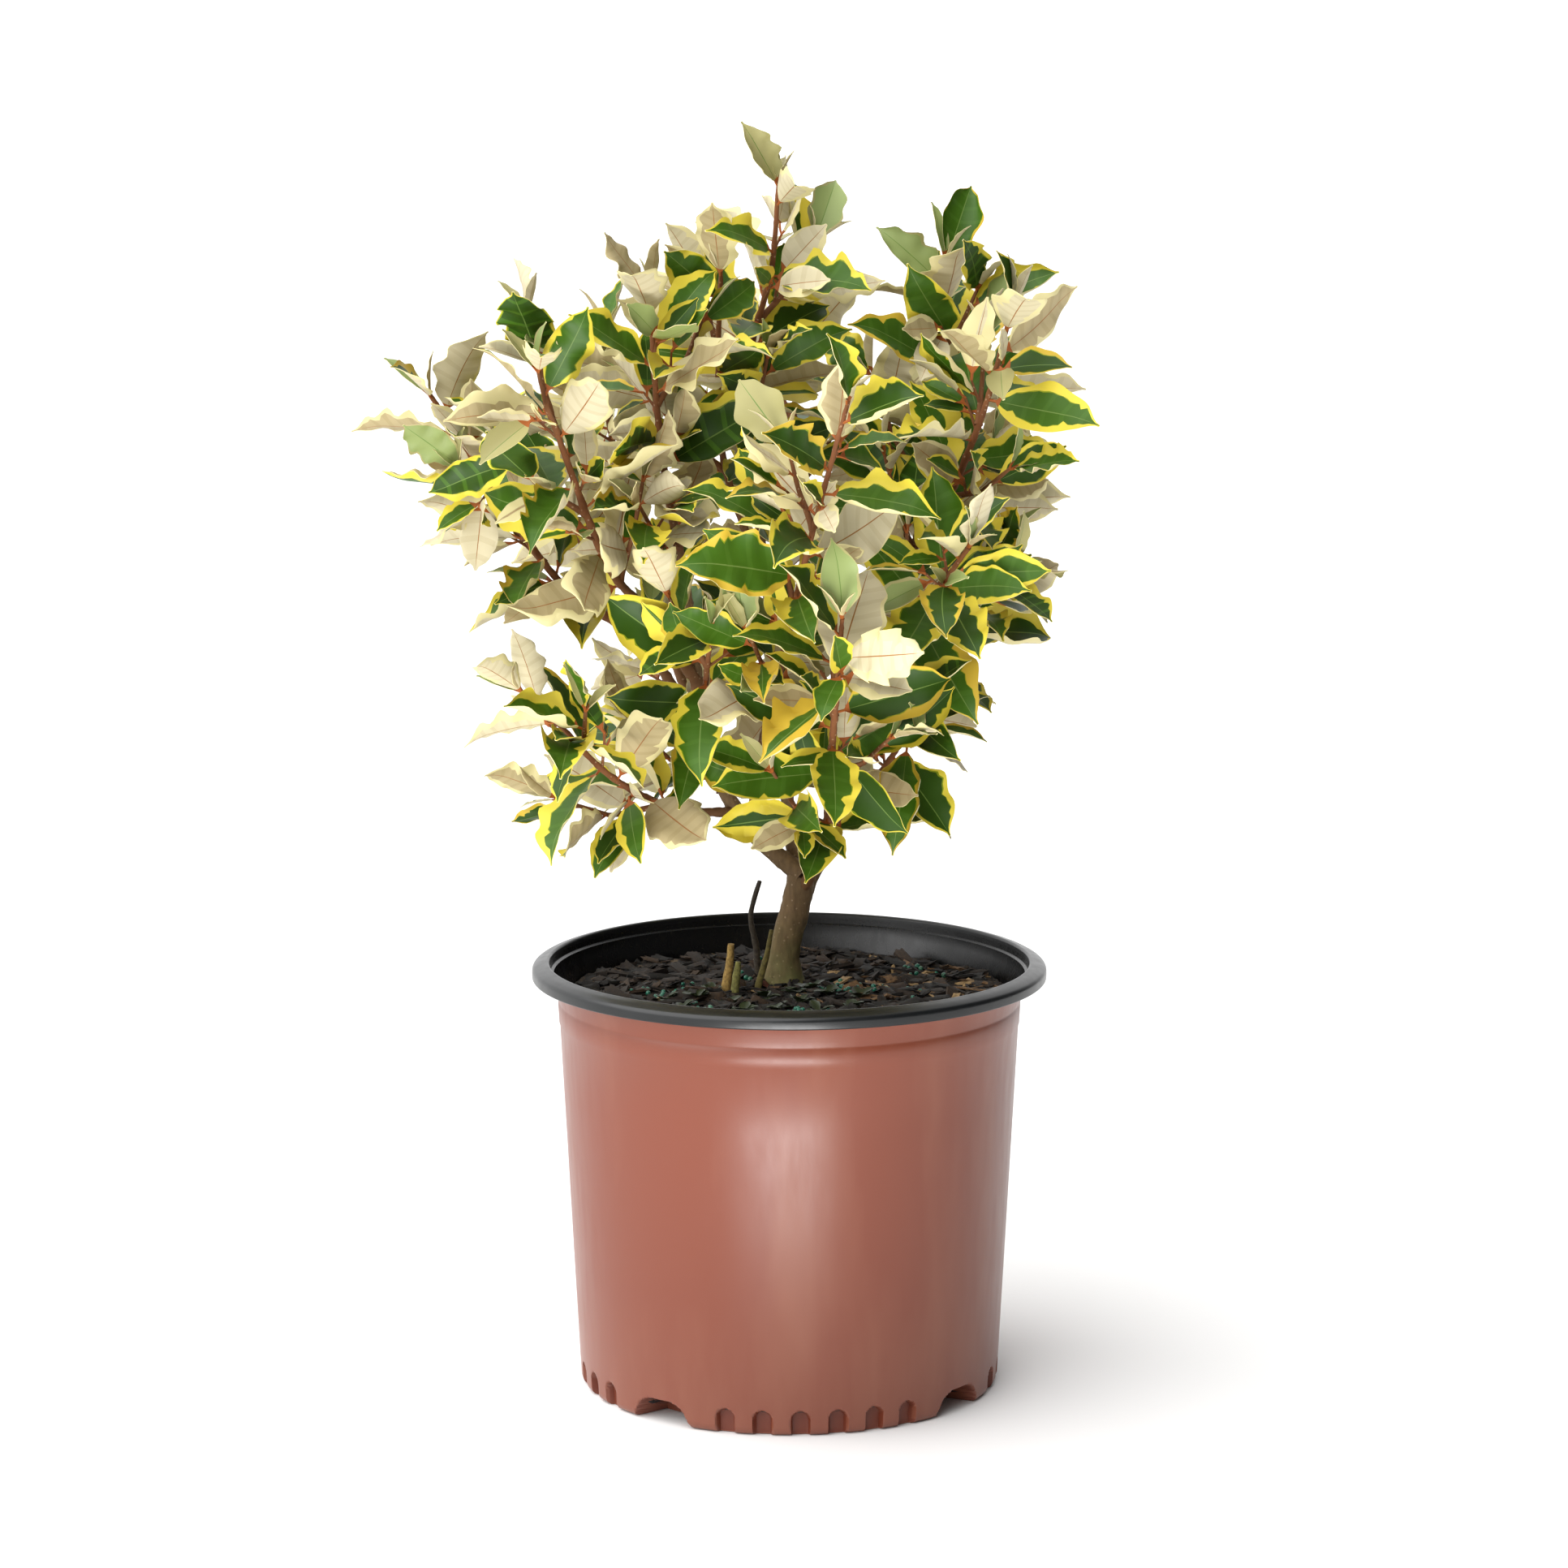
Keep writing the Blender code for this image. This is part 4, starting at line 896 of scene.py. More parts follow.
def limb_lines():
    """Each limb's smooth line and the radius along it, from the foot to the tip."""
    lines = {"trunk": smooth_line([Vector(place) * MM for place in TRUNK], TRUNK_LINE_STEP)}
    for name in by_parent():
        parent, share, places = LIMBS[name][:3]
        foot = place_at(lines[parent], share)[0]
        lines[name] = smooth_line([foot] + [Vector(place) * MM for place in places], LIMB_LINE_STEP)
    return lines


def trunk_radius(height):
    """The trunk's radius at a height, with its root flare."""
    low = (height / MM - TRUNK[0][2]) / FLARE_HEIGHT
    flare = ROOT_FLARE * max(0.0, 1.0 - low) ** 2
    up = np.interp(height / MM, [place[2] for place in TRUNK], TRUNK_RADII)
    return (up + flare) * MM


def limb_radius(name, share):
    """A limb's radius at a share of its length."""
    foot = LIMBS[name][3] * MM
    tip = TIP_RADIUS * MM
    return foot + (tip - foot) * share ** LIMB_TAPER


limb_lines_made = limb_lines()
print("leader", round(lengths_along(limb_lines_made["leader"])[-1] / MM), "mm long")

# %% [markdown]
# ## How the crown grows
#
# Elaeagnus bears its leaves singly, each about 137 degrees round the twig from the one before, which
# gives every leaf its own light. The crown is grown by that rule rather than scattered, so that every
# leaf has a twig, and every twig a limb. A leaf here is still only a root, two directions and a few sizes.
# Its upper side turns towards the twig's tip and the light, and it hangs and folds a little by chance.

# %% The values of the rule
STEM_STEP = 0.028
STEM_GAP = 0.5 * MM
REACH = 0.088
TWIG_FIRST = 0.08
TWIG_LAST = 0.62
TWIG_SPACING = 0.058
TWIG_LENGTH = 0.060
TWIG_LEAN = 42.0
TWIG_RADIUS = 1.7 * MM
TWIG_TEST_STEP = 0.003
TURN = 137.5
INTERNODE = 0.0140
LEAF_LENGTH = 0.063
TIP_LEAF_LENGTH = 0.045
LEAF_ASPECT = 0.50
LEAF_THICK = 1.3 * MM
LEAF_ROOT = 0.4 * MM
LEAF_TRIES = 10
LEAF_CLEAR = 0.9 * MM
LEAF_FLOOR = 0.03
BLADE_FROM = 12
FIRST_LEAF = 0.010
LIMB_CLEAR = 1.6 * MM
LIGHT_LEVEL = 0.62
TUFT = 3
TUFT_LEAN = 22.0

# How twigs vary: tries, sway of the lean and of the turn, the turn to the next try (degrees),
# the share of length that is lost towards the stem's tip, spread of length, and taper
TWIG_TRIES = 6
TWIG_SWAY = 8.0
TWIG_TURN_SWAY = 20.0
TWIG_NEXT_TURN = 60.0
TWIG_SHORTENS = 0.5
TWIG_SPREAD = (0.85, 1.15)
TWIG_CLEAR_FROM = 0.12
TWIG_TAPER = 0.4
TWIG_LEAF_SHARE = 0.3
TWIG_LEAF_SIZE = 0.92

# How leaves vary: sway of the lean, sag, roll (degrees), spread of length and width, droop and fold
LEAF_SWAY = 8.0
LEAF_SAG = 0.22
LEAF_ROLL = 30.0
FACES_TIP = 0.7
LENGTH_SPREAD = (0.86, 1.14)
WIDTH_SPREAD = (0.85, 1.12)
DROOPS = (-0.02, 0.22)
FOLDS = (0.10, 0.38)

# The tuft at a tip, and how leaves grow and lean with their distance from it
TUFT_SHARE = 0.985
TUFT_GROWS = 0.12
TUFT_FIRST_TURN = 60.0
TUFT_SWAY = 30.0
TUFT_NEXT_TURN = 25.0
NODE_SWAY = 22.0
NODE_NEXT_SWAY = 0.6
FULL_SIZE_AT = 0.045
TIP_LEAN = 34.0
MORE_LEAN = 32.0
FULL_LEAN_AT = 0.06

# The plain outline that stands for a leaf while the crown grows: share of length and half width
LEAF_SIDES = ((0.36, 0.47), (0.71, 0.41))
LEAF_FACES = (
    (0, 2, 7), (2, 4, 7), (4, 6, 7), (6, 5, 7), (5, 3, 7), (3, 0, 7),
    (1, 8, 2), (2, 8, 4), (4, 8, 6), (6, 8, 5), (5, 8, 3), (3, 8, 1),
    (0, 1, 2), (0, 3, 1),
)
print("leaves", round(LEAF_LENGTH / MM), "mm long, one each", round(INTERNODE / MM), "mm")

# %% [markdown]
# Two leaves may not pass through each other, nor a leaf through wood. Wood is kept as tapering
# segments, whose distance numpy finds for many points at once. A leaf is kept as a coarse body in a
# bounding volume tree, which finds an overlap fast.

# %% What has grown so far
def across(direction, turn):
    """The unit vector square to a direction, turned round it by an angle in degrees."""
    side = direction.cross(Vector((0.31, 0.95, 0.02))).normalized()
    return Matrix.Rotation(math.radians(turn), 3, direction) @ side


def leaf_corners(leaf, more=0.0):
    """The corners of a leaf, larger by more: root edge, sides, tip, and the top and bottom of its middle."""
    root, along, face, length, width, droop, fold = leaf
    side = along.cross(face).normalized()
    corners = [root + face * LEAF_ROOT, root - face * LEAF_ROOT]
    for share, half in LEAF_SIDES:
        middle = root + along * length * share - face * droop * length * share ** 2
        rise = face * fold * width * half
        for way in (-1, 1):
            corners.append(middle + side * way * (width * half + more) + rise)
    corners.append(root + along * (length + more) - face * droop * length)
    middle = root + along * length * 0.5 - face * droop * length * 0.25
    corners.append(middle + face * (LEAF_THICK / 2 + more))
    corners.append(middle - face * (LEAF_THICK / 2 + more))
    return corners


def leaf_samples(leaf):
    """Points over the blade of a leaf, from near its root to its tip."""
    root, along, face, length, width, droop, fold = leaf
    side = along.cross(face).normalized()
    points = []
    for step in range(2, 13):
        share = step / 12
        half = width * 0.5 * math.sqrt(max(0.0, 1 - (share * 2 - 1.1) ** 2 / 1.21))
        middle = root + along * length * share - face * droop * length * share ** 2
        for way in (-1, -0.6, -0.2, 0.2, 0.6, 1):
            points.append(middle + side * way * half + face * fold * abs(way) * half)
    return np.array(points)


def distances(points, starts, ends, radii):
    """The least distance from the points to the surface of each tapering segment."""
    spans = ends - starts
    offsets = points[:, None, :] - starts[None]
    share = np.clip((offsets * spans).sum(2) / (spans * spans).sum(1), 0, 1)
    nearest = starts[None] + share[..., None] * spans[None]
    return (np.linalg.norm(points[:, None, :] - nearest, axis=2) - radii).min(axis=0)


class Crown:
    """Everything grown so far: the wood as segments, and the leaves as coarse bodies."""

    def __init__(self):
        """Nothing has grown yet."""
        self.starts = np.zeros((0, 3))
        self.ends = np.zeros((0, 3))
        self.radii = np.zeros(0)
        self.owners = np.zeros(0, int)
        self.lows = np.zeros((0, 3))
        self.highs = np.zeros((0, 3))
        self.trees = []

    def add_wood(self, line, radii, owner):
        """Keeps a line as segments, each as thick as its thicker end."""
        self.starts = np.vstack([self.starts, np.array(line[:-1])])
        self.ends = np.vstack([self.ends, np.array(line[1:])])
        self.radii = np.append(self.radii, [max(pair) for pair in zip(radii, radii[1:])])
        self.owners = np.append(self.owners, [owner] * (len(line) - 1))

    def clear_of_wood(self, points, spare=None):
        """True if the points stay clear of all wood apart from that of one mass."""
        reach = self.radii[:, None] + LIMB_CLEAR
        lows = np.minimum(self.starts, self.ends) - reach
        highs = np.maximum(self.starts, self.ends) + reach
        near = ((lows < points.max(axis=0)) & (highs > points.min(axis=0))).all(axis=1)
        near &= self.owners != spare
        if not near.any():
            return True
        return distances(points, self.starts[near], self.ends[near], self.radii[near]).min() > LIMB_CLEAR

    def clear_of_leaves(self, leaf):
        """True if a leaf, grown a little, cuts none of the leaves that are there."""
        corners = leaf_corners(leaf, LEAF_CLEAR)
        cloud = np.array(corners)
        low = cloud.min(axis=0)
        high = cloud.max(axis=0)
        near = np.nonzero(((self.lows < high) & (self.highs > low)).all(axis=1))[0]
        tree = BVHTree.FromPolygons(corners, LEAF_FACES)
        return not any(tree.overlap(self.trees[i]) for i in near)

    def clear_of_twig(self, points):
        """True if no leaf lies within a twig's reach of the points."""
        inside = (self.lows < points.max(axis=0)) & (self.highs > points.min(axis=0))
        near = np.nonzero(inside.all(axis=1))[0]
        reach = TWIG_RADIUS + LIMB_CLEAR
        return not any(self.trees[i].find_nearest(Vector(point), reach)[0] for i in near for point in points)

    def add_leaf(self, leaf):
        """Keeps a leaf's box and its coarse body."""
        corners = leaf_corners(leaf)
        cloud = np.array(corners)
        self.lows = np.vstack([self.lows, cloud.min(axis=0)])
        self.highs = np.vstack([self.highs, cloud.max(axis=0)])
        self.trees.append(BVHTree.FromPolygons(corners, LEAF_FACES))


print("room of", round(REACH / MM), "mm round each stem")

# %% [markdown]
# Twigs leave the stem by turns and curve upwards. One that would leave the mass's space, or touch wood
# or a leaf, is tried again further round, and otherwise skipped.

# %% Twigs
def twig_radii(line):
    """The radius of a twig at each point of its line."""
    return [TWIG_RADIUS * (1 - TWIG_TAPER * i / (len(line) - 1)) for i in range(len(line))]


def grow_twigs(stem, chance, crown, owner):
    """Side twigs that leave the stem by turns, curve upwards, and stay in the mass's space."""
    length = lengths_along(stem)[-1]
    count = max(1, round(length * (TWIG_LAST - TWIG_FIRST) / TWIG_SPACING) + 1)
    first = chance.uniform(0, 360)
    axis = np.array(stem)
    twigs = []
    for i in range(count):
        share = TWIG_FIRST + (TWIG_LAST - TWIG_FIRST) * i / max(1, count - 1)
        foot, onward = place_at(stem, share)
        for attempt in range(TWIG_TRIES):
            sway = chance.uniform(-TWIG_TURN_SWAY, TWIG_TURN_SWAY)
            turn = first + TURN * i + sway + TWIG_NEXT_TURN * attempt
            lean = math.radians(TWIG_LEAN + chance.uniform(-TWIG_SWAY, TWIG_SWAY))
            away = (onward * math.cos(lean) + across(onward, turn) * math.sin(lean)).normalized()
            reach = TWIG_LENGTH * (1.1 - TWIG_SHORTENS * share) * chance.uniform(*TWIG_SPREAD)
            middle = foot + away * reach * 0.5
            tip = middle + (away + UP * 0.5).normalized() * reach * 0.5
            line = smooth_line([foot, middle, tip], 0.030)
            cloud = np.array(stretch_of(line, TWIG_CLEAR_FROM, 1.0, TWIG_TEST_STEP))
            inside = distances(cloud, axis[:-1], axis[1:], 0.0).min() < REACH
            if inside and crown.clear_of_wood(cloud, owner) and crown.clear_of_twig(cloud):
                twigs.append(line)
                crown.add_wood(line, twig_radii(line), owner)
                break
    return twigs


# %% [markdown]
# A tuft of small leaves closes each twig, and larger ones follow down it. Every leaf is tried up to ten
# times, each time turned further, until it stays clear of what is there.

# %% Leaves on their twigs
def light_from(turn):
    """The direction of the light, from a heading that starts at the viewer's side and a fixed height."""
    turn = math.radians(turn)
    level = math.sqrt(1 - LIGHT_LEVEL ** 2)
    return Vector((level * math.sin(turn), -level * math.cos(turn), LIGHT_LEVEL))


def leaf_at(line, share, turn, size, chance, lean, light):
    """One leaf on a twig: it leaves at a lean from the twig, its upper side towards the tip and the light."""
    root, onward = place_at(line, share)
    lean = math.radians(lean + chance.uniform(-LEAF_SWAY, LEAF_SWAY))
    along = (onward * math.cos(lean) + across(onward, turn) * math.sin(lean)).normalized()
    along = (along - UP * chance.uniform(0.0, LEAF_SAG)).normalized()
    face = onward * FACES_TIP + light
    face = (face - along * face.dot(along)).normalized()
    face = Matrix.Rotation(math.radians(chance.gauss(0, LEAF_ROLL)), 3, along) @ face
    length = size * chance.uniform(*LENGTH_SPREAD)
    width = length * LEAF_ASPECT * chance.uniform(*WIDTH_SPREAD)
    droop = chance.uniform(*DROOPS)
    fold = chance.uniform(*FOLDS)
    return root, along, face, length, width, droop, fold


def place_leaf(make, owner, crown, leaves):
    """Tries a leaf up to ten times, each time turned further, and keeps the first that stays clear."""
    for attempt in range(LEAF_TRIES):
        leaf = make(attempt)
        samples = leaf_samples(leaf)
        low = samples[:, 2].min() < MIX_LEVEL + LEAF_FLOOR
        blade = samples[BLADE_FROM:]
        if low or not (crown.clear_of_wood(blade) and crown.clear_of_wood(samples, owner)):
            continue
        if crown.clear_of_leaves(leaf):
            crown.add_leaf(leaf)
            leaves.append(leaf)
            return


def grow_leaves(line, start, big, light, chance, owner, crown, leaves):
    """A tuft of small leaves at a twig's tip, then leaves down it, one a node, by turns of the same angle."""
    length = lengths_along(line)[-1]
    first = chance.uniform(0, 360)
    for i in range(TUFT):
        size = TIP_LEAF_LENGTH * (1 + TUFT_GROWS * i)

        def in_tuft(attempt):
            turn = first + 360 * i / TUFT + TUFT_FIRST_TURN + chance.uniform(-TUFT_SWAY, TUFT_SWAY)
            return leaf_at(line, TUFT_SHARE, turn + TUFT_NEXT_TURN * attempt, size, chance, TUFT_LEAN, light)

        place_leaf(in_tuft, owner, crown, leaves)
    count = max(2, round(length * (1 - start) / INTERNODE))
    for i in range(1, count + 1):
        share = 1 - (1 - start) * i / count
        left = (1 - share) * length
        size = TIP_LEAF_LENGTH + (big - TIP_LEAF_LENGTH) * min(1.0, left / FULL_SIZE_AT)
        lean = TIP_LEAN + MORE_LEAN * min(1.0, left / FULL_LEAN_AT)

        def at_node(attempt):
            turn = first + TURN * i + chance.uniform(-NODE_SWAY, NODE_SWAY) * (1 + attempt * NODE_NEXT_SWAY)
            return leaf_at(line, share, turn, size, chance, lean, light)

        place_leaf(at_node, owner, crown, leaves)


def grow_mass(owner, name, line, crown):
    """The stem, twigs and leaves of one mass."""
    bare, light, seed = LIMBS[name][4:7]
    chance = random.Random(seed)
    total = lengths_along(line)[-1]
    stem = stretch_of(line, bare + STEM_GAP / total, 1.0, STEM_STEP)
    twigs = grow_twigs(stem, chance, crown, owner)
    leaves = []
    first = FIRST_LEAF / lengths_along(stem)[-1]
    grow_leaves(stem, first, LEAF_LENGTH, light_from(light), chance, owner, crown, leaves)
    for twig in twigs:
        size = LEAF_LENGTH * TWIG_LEAF_SIZE
        grow_leaves(twig, TWIG_LEAF_SHARE, size, light_from(light), chance, owner, crown, leaves)
    return stem, twigs, leaves


# %% Grow the crown
def bare_crown(lines):
    """The crown before its twigs and leaves: the trunk and every limb to its tip."""
    crown = Crown()
    trunk = lines["trunk"]
    crown.add_wood(trunk, [trunk_radius(place.z) for place in trunk], -1)
    for owner, name in enumerate(LIMBS):
        line = stretch_of(lines[name], 0.0, 1.0, WOOD_TEST_STEP)
        radii = [limb_radius(name, i / (len(line) - 1)) for i in range(len(line))]
        crown.add_wood(line, radii, owner)
    return crown


crown = bare_crown(limb_lines_made)
masses = {}
for owner, name in enumerate(LIMBS):
    masses[name] = grow_mass(owner, name, limb_lines_made[name], crown)
twig_count = sum(len(twigs) for stem, twigs, leaves in masses.values())
leaf_count = sum(len(leaves) for stem, twigs, leaves in masses.values())
print(leaf_count, "leaves on", twig_count, "twigs")

# %% [markdown]
# ## Finer twigs
#
# The rule is carried one step further. Short spurs leave the stems and twigs between the leaves, each
# with a few smaller leaves, as an elaeagnus shows in its second year. They grow in the same crown, so
# the spurs stay clear of the wood and their leaves clear of everything, and they keep within the reach
# of their mass.

# %% Spurs
SPUR_SPACING = 0.044
SPUR_LENGTH = (0.010, 0.024)
SPUR_RADIUS = 0.75 * MM
SPUR_LEAN = 52.0
SPUR_TRIES = 8
SPUR_LEAF = (0.028, 0.044)
SPUR_LEAVES = 3
SPUR_FROM = 0.25
SPUR_RANGE = 0.7
SPUR_FIRST_TURN = 70
SPUR_CLEAR_FROM = 0.35
SPUR_RISE = 0.3
SPUR_SEEDS = 1000

# On a spur: the first leaf's place and lean, the step of both to the next, the sway and the next turn
SPUR_TOP = 0.98
SPUR_NODE = 0.22
SPUR_LEAF_LEAN = 30
SPUR_LEAN_STEP = 12
SPUR_SWAY = 20
SPUR_NEXT_TURN = 40


def grow_spur(line, share, turn, chance, crown, owner, axis):
    """One spur, or None where none finds room."""
    foot, onward = place_at(line, share)
    for attempt in range(SPUR_TRIES):
        around = turn + TWIG_NEXT_TURN * attempt
        lean = math.radians(SPUR_LEAN)
        away = (onward * math.cos(lean) + across(onward, around) * math.sin(lean)).normalized()
        reach = chance.uniform(*SPUR_LENGTH)
        tip = foot + (away + UP * SPUR_RISE).normalized() * reach
        spur = [foot, foot.lerp(tip, 0.5), tip]
        cloud = np.array(stretch_of(spur, SPUR_CLEAR_FROM, 1.0, TWIG_TEST_STEP))
        if distances(cloud, axis[:-1], axis[1:], 0.0).min() < REACH and crown.clear_of_wood(cloud, owner):
            return spur
    return None


def grow_spurs(name, owner, crown):
    """The spurs of one mass and the small leaves on them."""
    stem, twigs = masses[name][:2]
    chance = random.Random(LIMBS[name][6] + SPUR_SEEDS)
    light = light_from(LIMBS[name][5])
    axis = np.array(stem)
    spurs, small = [], []
    for line in [stem] + twigs:
        count = round(lengths_along(line)[-1] / SPUR_SPACING)
        for i in range(count):
            share = SPUR_FROM + SPUR_RANGE * i / max(1, count)
            spur = grow_spur(line, share, TURN * i + SPUR_FIRST_TURN, chance, crown, owner, axis)
            if spur is None:
                continue
            before = len(small)
            for j in range(SPUR_LEAVES):
                size = chance.uniform(*SPUR_LEAF)

                def on_spur(attempt):
                    sway = chance.uniform(-SPUR_SWAY, SPUR_SWAY)
                    turn = 360 * j / SPUR_LEAVES + SPUR_NEXT_TURN * attempt + sway
                    lean = SPUR_LEAF_LEAN + SPUR_LEAN_STEP * j
                    return leaf_at(spur, SPUR_TOP - SPUR_NODE * j, turn, size, chance, lean, light)

                place_leaf(on_spur, owner, crown, small)
            if len(small) > before:
                spurs.append(spur)
                crown.add_wood(spur, [SPUR_RADIUS] * 3, owner)
    return spurs, small


fine = {name: grow_spurs(name, owner, crown) for owner, name in enumerate(LIMBS)}
spur_count = sum(len(spurs) for spurs, small in fine.values())
small_count = sum(len(small) for spurs, small in fine.values())
print(small_count, "small leaves on", spur_count, "spurs")

# %% [markdown]
# ## Bark
#
# A limb could be a curve with a bevel, but a curve can't swell at its nodes. Instead one straight tube is
# made with bmesh, a ring extruded again and again, and read as arrays. It is then bent along each line,
# with the limb's own radius, a swelling at each node and a collar where it leaves its parent.

# %% Tubes that follow a line
RELIEF_SIZE = 4.0 * MM
RELIEF_LONG = 0.35


def tube_blank(sides, rings):
    """A closed straight tube of unit radius, from 0 to 1 along Z, in triangles."""
    shape = bmesh.new()
    ring = bmesh.ops.create_circle(shape, cap_ends=True, segments=sides, radius=1.0)["verts"]
    edges = list({edge for vert in ring for edge in vert.link_edges})
    for _ in range(rings - 1):
        pushed = bmesh.ops.extrude_edge_only(shape, edges=edges)["geom"]
        verts = [item for item in pushed if isinstance(item, bmesh.types.BMVert)]
        edges = [item for item in pushed if isinstance(item, bmesh.types.BMEdge)]
        edges = [edge for edge in edges if all(vert in set(verts) for vert in edge.verts)]
        bmesh.ops.translate(shape, vec=(0, 0, 1 / (rings - 1)), verts=verts)
    bmesh.ops.holes_fill(shape, edges=edges, sides=0)
    bmesh.ops.triangulate(shape, faces=shape.faces)
    bmesh.ops.recalc_face_normals(shape, faces=shape.faces)
    return arrays_of(shape)


tube_blanks = {}


def bent_tube(line, radii, sides, relief=0.0):
    """A tube along a line. The relief pushes the bark in and out by noise, in metres."""
    rings = len(line)
    if (sides, rings) not in tube_blanks:
        tube_blanks[sides, rings] = tube_blank(sides, rings)
    blank, faces = tube_blanks[sides, rings]
    index = np.rint(blank[:, 2] * (rings - 1)).astype(int)
    points = np.array([tuple(place) for place in line])
    tangents = np.gradient(points, axis=0)
    tangents /= np.linalg.norm(tangents, axis=1)[:, None]
    side = np.array(across(Vector(tangents[0]), 0))
    sides_of = []
    for tangent in tangents:
        side = side - tangent * side.dot(tangent)
        side /= np.linalg.norm(side)
        sides_of.append(side)
    sides_of = np.array(sides_of)
    others = np.cross(tangents, sides_of)
    out = sides_of[index] * blank[:, :1] + others[index] * blank[:, 1:2]
    placed = points[index] + out * np.array(radii)[index][:, None]
    if relief:
        spots = [Vector((x, y, z * RELIEF_LONG)) / RELIEF_SIZE for x, y, z in placed]
        lift = np.array([noise.fractal(spot, 1.0, 2.0, 3) for spot in spots])
        placed += out * (lift * relief)[:, None]
    return placed, faces, index / (rings - 1)


blank = tube_blank(8, 4)
print(len(blank[0]), "points on a tube of 4 rings")

# %% [markdown]
# The bark of this shrub starts as rust-brown scurf on the young shoots and turns grey-brown and fissured
# as the wood ages, with pale corky pores. One material holds both ends, and each point of a limb keeps
# its age as an attribute, from 1 on the trunk to 0 on a shoot, that mixes them. The trunk's foot is
# faintly green with algae, up to a few centimetres.

# %% Bark materials
PORE_SIZE = 3.4 * MM
FISSURE_SIZE = 2.2 * MM
MOTTLE_SIZE = 9.0 * MM
ALGAE_TOP = MIX_LEVEL + 42.0 * MM


def elaeagnus_bark():
    """Rust-brown scurf that turns grey-brown and fissured with age, with pale pores and a green foot."""
    made, tree, shader = new_material("elaeagnus_bark", "7D5F46", 0.84)
    place = add_node(tree, "TexCoord").outputs["Object"]
    age = add_node(tree, "Attribute", {"attribute_name": "age"}).outputs["Fac"]
    long = add_node(tree, "Mapping", {"Scale": (1, 1, 0.3)}, {"Vector": place}).outputs["Vector"]
    fissure = add_node(tree, "TexNoise", {"Scale": 1 / FISSURE_SIZE, "Detail": 5.0}, {"Vector": long})
    mottle = add_node(tree, "TexNoise", {"Scale": 1 / MOTTLE_SIZE, "Detail": 2.0}, {"Vector": place})
    old = add_node(tree, "Mix", {"data_type": "RGBA", 6: linear("4C3A24"), 7: linear("8A6F4C")},
                   {0: fissure.outputs["Fac"]})
    young = add_node(tree, "Mix", {"data_type": "RGBA", 6: linear("5A2F14"), 7: linear("855229")},
                     {0: mottle.outputs["Fac"]})
    colour = add_node(tree, "Mix", {"data_type": "RGBA"}, {0: age, 6: young.outputs[2], 7: old.outputs[2]})
    pores = add_node(tree, "TexVoronoi", {"Scale": 1 / PORE_SIZE}, {"Vector": place})
    spot = add_node(tree, "MapRange", {1: 0.12, 2: 0.22, 3: 0.4, 4: 0.0},
                    {"Value": pores.outputs["Distance"]})
    pored = add_node(tree, "Mix", {"data_type": "RGBA", 7: linear("C2A582")},
                     {0: spot.outputs["Result"], 6: colour.outputs[2]})
    height = add_node(tree, "SeparateXYZ", {}, {"Vector": place}).outputs["Z"]
    low = add_node(tree, "MapRange", {1: MIX_LEVEL, 2: ALGAE_TOP, 3: 1.0, 4: 0.0}, {"Value": height})
    algae = add_node(tree, "Math", {"operation": "MULTIPLY"},
                     {0: low.outputs["Result"], 1: mottle.outputs["Fac"]})
    green = add_node(tree, "Mix", {"data_type": "RGBA", 7: linear("6C7440")},
                     {0: algae.outputs[0], 6: pored.outputs[2]})
    tree.links.new(green.outputs[2], shader.inputs["Base Color"])
    bump = add_node(tree, "Bump", {"Strength": 0.6, "Distance": 0.6 * MM}, {"Height": fissure.outputs["Fac"]})
    tree.links.new(bump.outputs["Normal"], shader.inputs["Normal"])
    return made


bark = elaeagnus_bark()
print("bark with pores every", PORE_SIZE / MM, "mm")

# %% [markdown]
# Each limb is one tube from inside its parent to its tip. A node every fourteen millimetres swells it a
# little, and a collar widens its foot. The trunk's foot flares into the mix. Where leaves begin, the
# shoot is young and its age falls to nothing.

# %% The limbs
LIMB_RING = 2.2 * MM
LIMB_SIDES = 12
LIMB_RELIEF = 0.35 * MM
TRUNK_RING = 1.1 * MM
TRUNK_SIDES = 36
TRUNK_RELIEF = 0.8 * MM
TRUNK_SUNK = 8 * MM
SIDE_AGE = 0.45
NODE_SWELL = 0.16
NODE_REACH = 1.4 * MM
COLLAR = 0.45
COLLAR_REACH = 7.0 * MM
OLD_LIMBS = ("left_stem", "right_stem", "leader")


def swollen(line, radii):
    """The radii with a swelling at each node and a collar at the foot."""
    along = np.array(lengths_along(line))
    beat = (along + INTERNODE / 2) % INTERNODE - INTERNODE / 2
    swell = 1 + NODE_SWELL * np.exp(-(beat / NODE_REACH) ** 2) + COLLAR * np.exp(-along / COLLAR_REACH)
    return np.array(radii) * swell


def add_limb(batch, name, ages):
    """One limb's tube, and the age of its bark at each point."""
    line = stretch_of(limb_lines_made[name], 0.0, 1.0, LIMB_RING)
    share = np.linspace(0, 1, len(line))
    radii = swollen(line, [limb_radius(name, part) for part in share])
    placed, faces, along = bent_tube(line, radii, LIMB_SIDES, LIMB_RELIEF)
    batch.add(placed, faces)
    bare = LIMBS[name][4]
    most = 1.0 if name in OLD_LIMBS else SIDE_AGE
    ages.append(most * smooth_step((bare + 0.25 - along) / 0.4))


